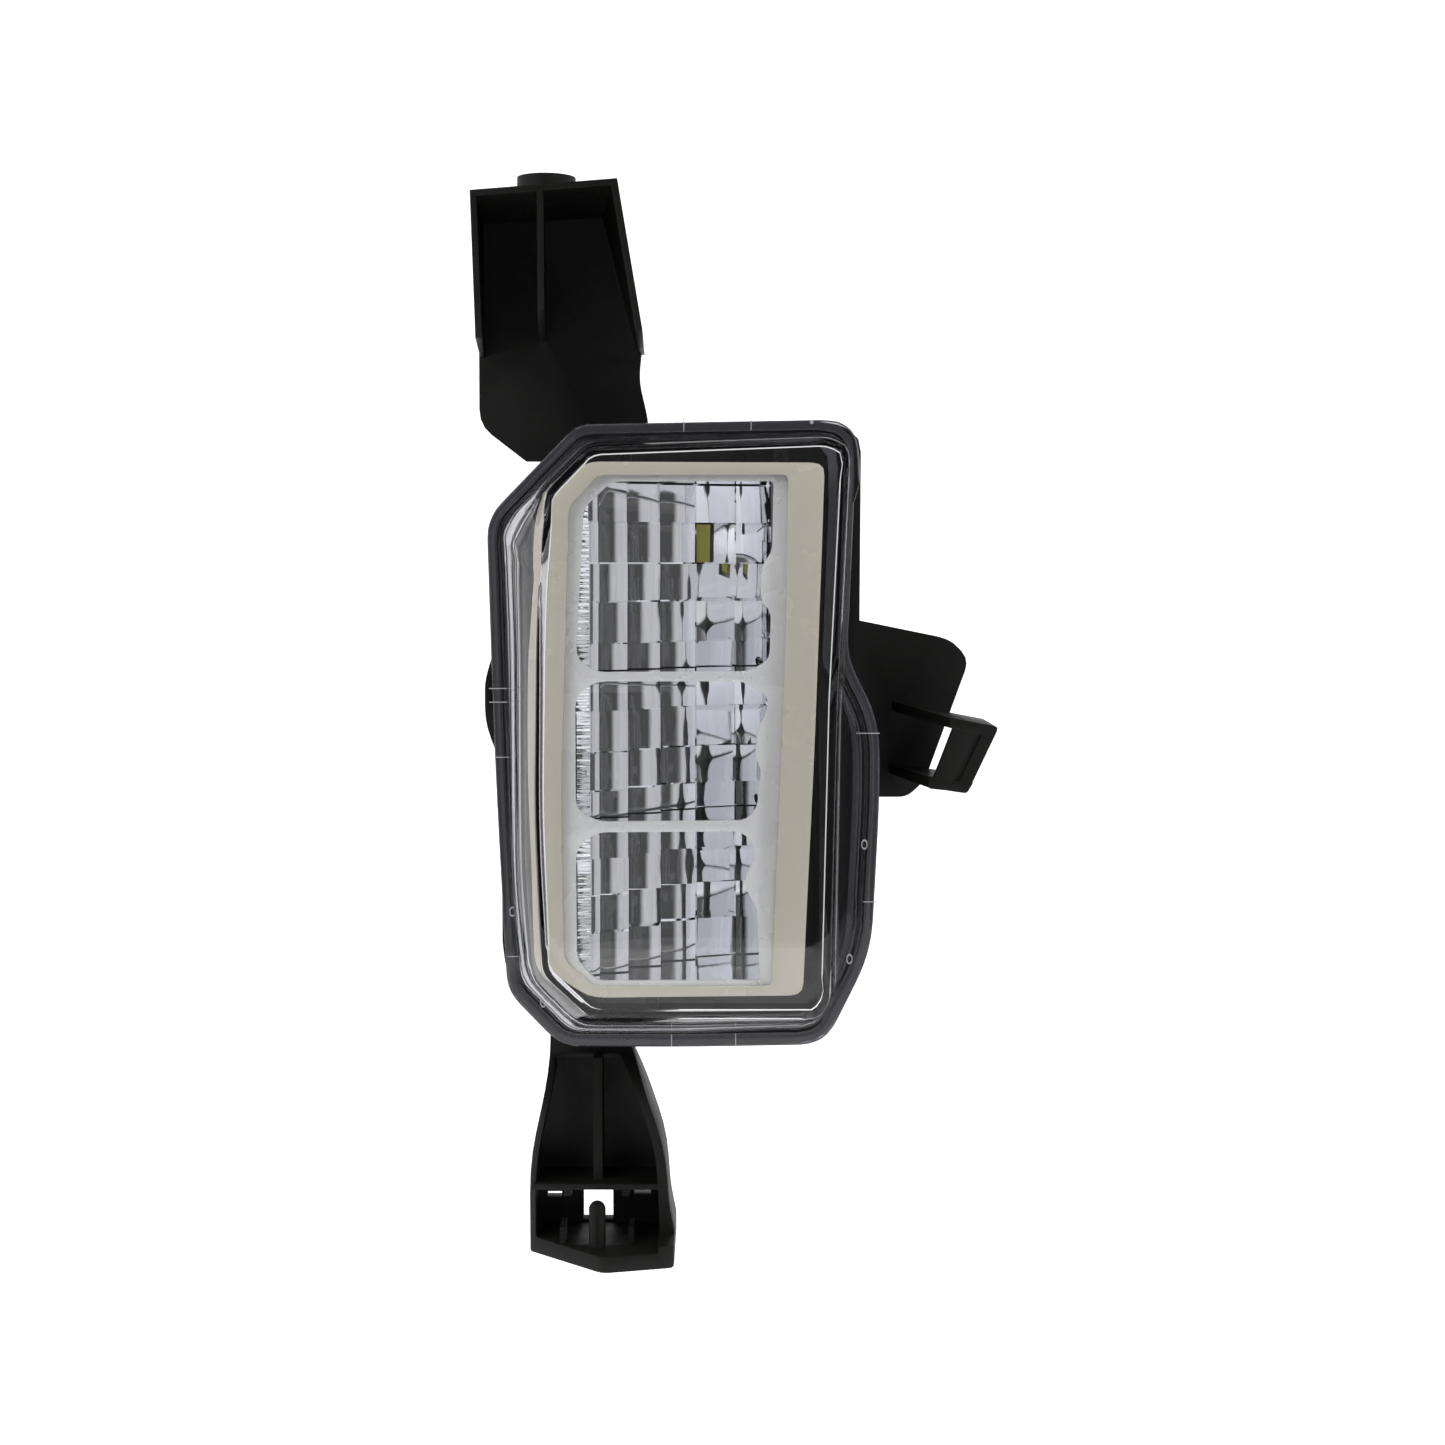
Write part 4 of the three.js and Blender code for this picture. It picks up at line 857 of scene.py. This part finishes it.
def makeFlangeMarks():
    look = flangeMarks
    width, rise = look["ribSize"]
    for number, (x, z, length, turn) in enumerate(look["ribs"]):
        clearSelection()
        bpy.ops.mesh.primitive_cube_add(size=1, location=lampPoint(x, -rise / 4, z))
        rib = bpy.context.object
        rib.name = f"flangeRib{number + 1}"
        rib.scale = (length * mm, rise * mm, width * mm)
        rib.rotation_euler = (0, math.radians(turn), 0)
        bpy.ops.object.transform_apply(location=True, rotation=True, scale=True)
        edges = rib.modifiers.new("edgeBreak", "BEVEL")
        edges.width = 0.00005
        edges.segments = 2
        bpy.ops.object.modifier_apply(modifier=edges.name)
        bpy.ops.object.shade_smooth()
        finishPiece(rib, "lamp", "markFrost")
    for number, (x, z) in enumerate(look["loops"]):
        clearSelection()
        bpy.ops.mesh.primitive_torus_add(
            major_radius=look["loopSize"][0] * mm, minor_radius=look["loopSize"][1] * mm,
            major_segments=28, minor_segments=8,
            location=lampPoint(x, 0, z), rotation=(math.radians(90), 0, 0))
        loop = bpy.context.object
        loop.name = f"pinMark{number + 1}"
        bpy.ops.object.transform_apply(location=True, rotation=True, scale=True)
        bpy.ops.object.mode_set(mode="EDIT")
        bpy.ops.mesh.select_all(action="SELECT")
        bpy.ops.transform.resize(value=(0.75, 1, 1.25), center_override=lampPoint(x, 0, z))
        bpy.ops.object.mode_set(mode="OBJECT")
        bpy.ops.object.shade_smooth()
        finishPiece(loop, "lamp", "markFrost")
    for number, (x, z) in enumerate(look["dots"]):
        clearSelection()
        bpy.ops.mesh.primitive_uv_sphere_add(
            segments=16, ring_count=8, radius=look["dotSize"] * mm, location=lampPoint(x, 0, z))
        dot = bpy.context.object
        dot.name = f"gateMark{number + 1}"
        bpy.ops.object.transform_apply(location=True, rotation=True, scale=True)
        bpy.ops.object.mode_set(mode="EDIT")
        bpy.ops.mesh.select_all(action="SELECT")
        bpy.ops.transform.resize(value=(1, 0.3, 1), center_override=lampPoint(x, 0, z))
        bpy.ops.object.mode_set(mode="OBJECT")
        bpy.ops.object.shade_smooth()
        finishPiece(dot, "lamp", "markFrost")


def makeTrim():
    bezel = roundedCopy("bezel", "pearlBezel", edgeBreaks["bezel"], segments=3)
    finishPiece(bezel, "lamp", "pearlCoat", ["bezel"])
    paintBehind(bezel, "housingBlack", coatEnds)
    inner = roundedCopy("inner_frame", "innerTrim", edgeBreaks["innerFrame"])
    finishPiece(inner, "lamp", "greyCoat", ["inner_frame"])


mirrorLook = {
    "depth": 39,
    "across": 67,           # curvature of the dish
    "up": 150,
    "lightSide": 11.5,      # the light sits at this side of a cell
    "clear": 0.35,          # in front of the solid below
    "thick": 0.25,
    "shallowest": 1.4,
    "seam": 0.02,           # share of a facet taken by the step down to the next one
    "columns": [-35.5, -32.2, -30.2, -23.2, -15.4, -6.8, 3.3, 11.5],
    "leans": [0.3, 0.36, 0.25, 0.25, 0.26, 0.36, 0.3],        # how far each column faces the light
    "bulges": [0.2, 0.2, 0.26, 0.25, 0.25, 0.13, 0.32],       # turn of a facet's face from side to side
    "uneven": 0.08,         # no two facets are quite alike
    "rowBulge": 0.035,
    "tip": 0.07,            # all facets look slightly upwards
    "spread": 0.2,          # those beside the light also look away from it, up or down
    "besideLight": 5,       # first column beside the light
    "acrossSteps": 12,
    "upSteps": 32,
    "fluteColumn": 0,
    "flutePitch": 1.45,     # fine flutes up the far side
    "fluteHeight": 0.2,
    "glowColumn": 5,        # here one facet is curved to catch the light itself
    "glowLean": 0.36,
    "glowBulge": -0.38,
    "glowUp": 58,
    "cells": [
        # name, row edges from the bottom up, row that catches the light
        ("upperMirror", [12.1, 18.6, 28.8, 38.2, 48.2, 57.9], 3),
        ("middleMirror", [-24.1, -17.6, -8.2, 2.0, 10.1], -1),
        ("lowerMirror", [-62.9, -52.6, -43.6, -34.4, -26.1], -1),
    ],
}


def mirrorPlace(column, row, t, u, rows, glowRow):
    # a point of one facet: t runs across it and u up it, both from 0 to 1
    look = mirrorLook
    left, right = look["columns"][column:column + 2]
    low, high = rows[row:row + 2]
    x = left + (right - left) * t
    z = low + (high - low) * u
    middle = (rows[0] + rows[-1]) / 2
    off = max(abs(low - middle), abs(high - middle))
    side = look["lightSide"]
    uneven = look["uneven"] * math.sin(2.3 * row + 1.7 * column + rows[0])
    lean = look["leans"][column] + uneven
    turn = look["bulges"][column]
    glows = column == look["glowColumn"] and row == glowRow
    if glows:
        lean = look["glowLean"]
        turn = look["glowBulge"]
    fall = max((left - side) ** 2 / look["across"],
               (right - side) ** 2 / look["across"] + lean * (right - left))
    edge = look["depth"] - fall - off ** 2 / look["up"]
    nod = 0 if glows else look["rowBulge"] * (high - low)
    depth = edge - look["clear"] + (right - left) * (lean * t - turn * t * (1 - t))
    tip = 0 if glows else look["tip"]
    if column >= look["besideLight"] and not glows:
        tip += look["spread"] if low + high > 2 * middle - 1 else -look["spread"]
    depth += tip * (z - (high if tip > 0 else low)) - nod * u * (1 - u)
    if glows:
        depth -= ((z - middle) ** 2 - (low - middle) ** 2) / look["glowUp"]
    if column == look["fluteColumn"]:
        depth += look["fluteHeight"] * math.sin(z / look["flutePitch"] * 2 * math.pi)
    floor = look["depth"] - (x - side) ** 2 / look["across"] - (z - middle) ** 2 / look["up"]
    return x, max(min(depth, floor - look["clear"]), look["shallowest"]), z


def makeMirror(name, rows, glowRow):
    look = mirrorLook
    across = look["acrossSteps"]
    up = look["upSteps"]
    columnCount = len(look["columns"]) - 1
    rowCount = len(rows) - 1
    wide = columnCount * (across + 1)
    tall = rowCount * (up + 1)
    clearSelection()
    bpy.ops.mesh.primitive_grid_add(
        x_subdivisions=wide - 1, y_subdivisions=tall - 1, size=1, rotation=(math.radians(90), 0, 0))
    mirror = bpy.context.object
    mirror.name = name
    bpy.ops.object.transform_apply(location=True, rotation=True, scale=True)
    seam = look["seam"]
    for vertex in mirror.data.vertices:
        i = round((vertex.co.x + 0.5) * (wide - 1))
        j = round((vertex.co.z + 0.5) * (tall - 1))
        column, stepAcross = divmod(i, across + 1)
        row, stepUp = divmod(j, up + 1)
        t = seam + (1 - 2 * seam) * stepAcross / across
        u = seam + (1 - 2 * seam) * stepUp / up
        vertex.co = lampPoint(*mirrorPlace(column, row, t, u, rows, glowRow))
    mirror.data.update()
    sheet = mirror.modifiers.new("sheetThickness", "SOLIDIFY")
    sheet.thickness = look["thick"] * mm
    sheet.offset = -1               # all of it behind the mirror's face
    bpy.ops.object.modifier_apply(modifier=sheet.name)
    bpy.ops.object.shade_smooth_by_angle(angle=math.radians(20))
    finishPiece(mirror, "lamp", "mirrorCoat")


makeCamera()
makeStudio()
print("camera and studio are up")
makeFinishes()
print("finishes are made")
makeBracket()
makeShell()
makeBackRibs()
print("bracket and shell are rounded")
makeLens()
makeFlangeMarks()
makeTrim()
for cell in mirrorLook["cells"]:
    makeMirror(*cell)
print("lens, trim and mirrors are in")
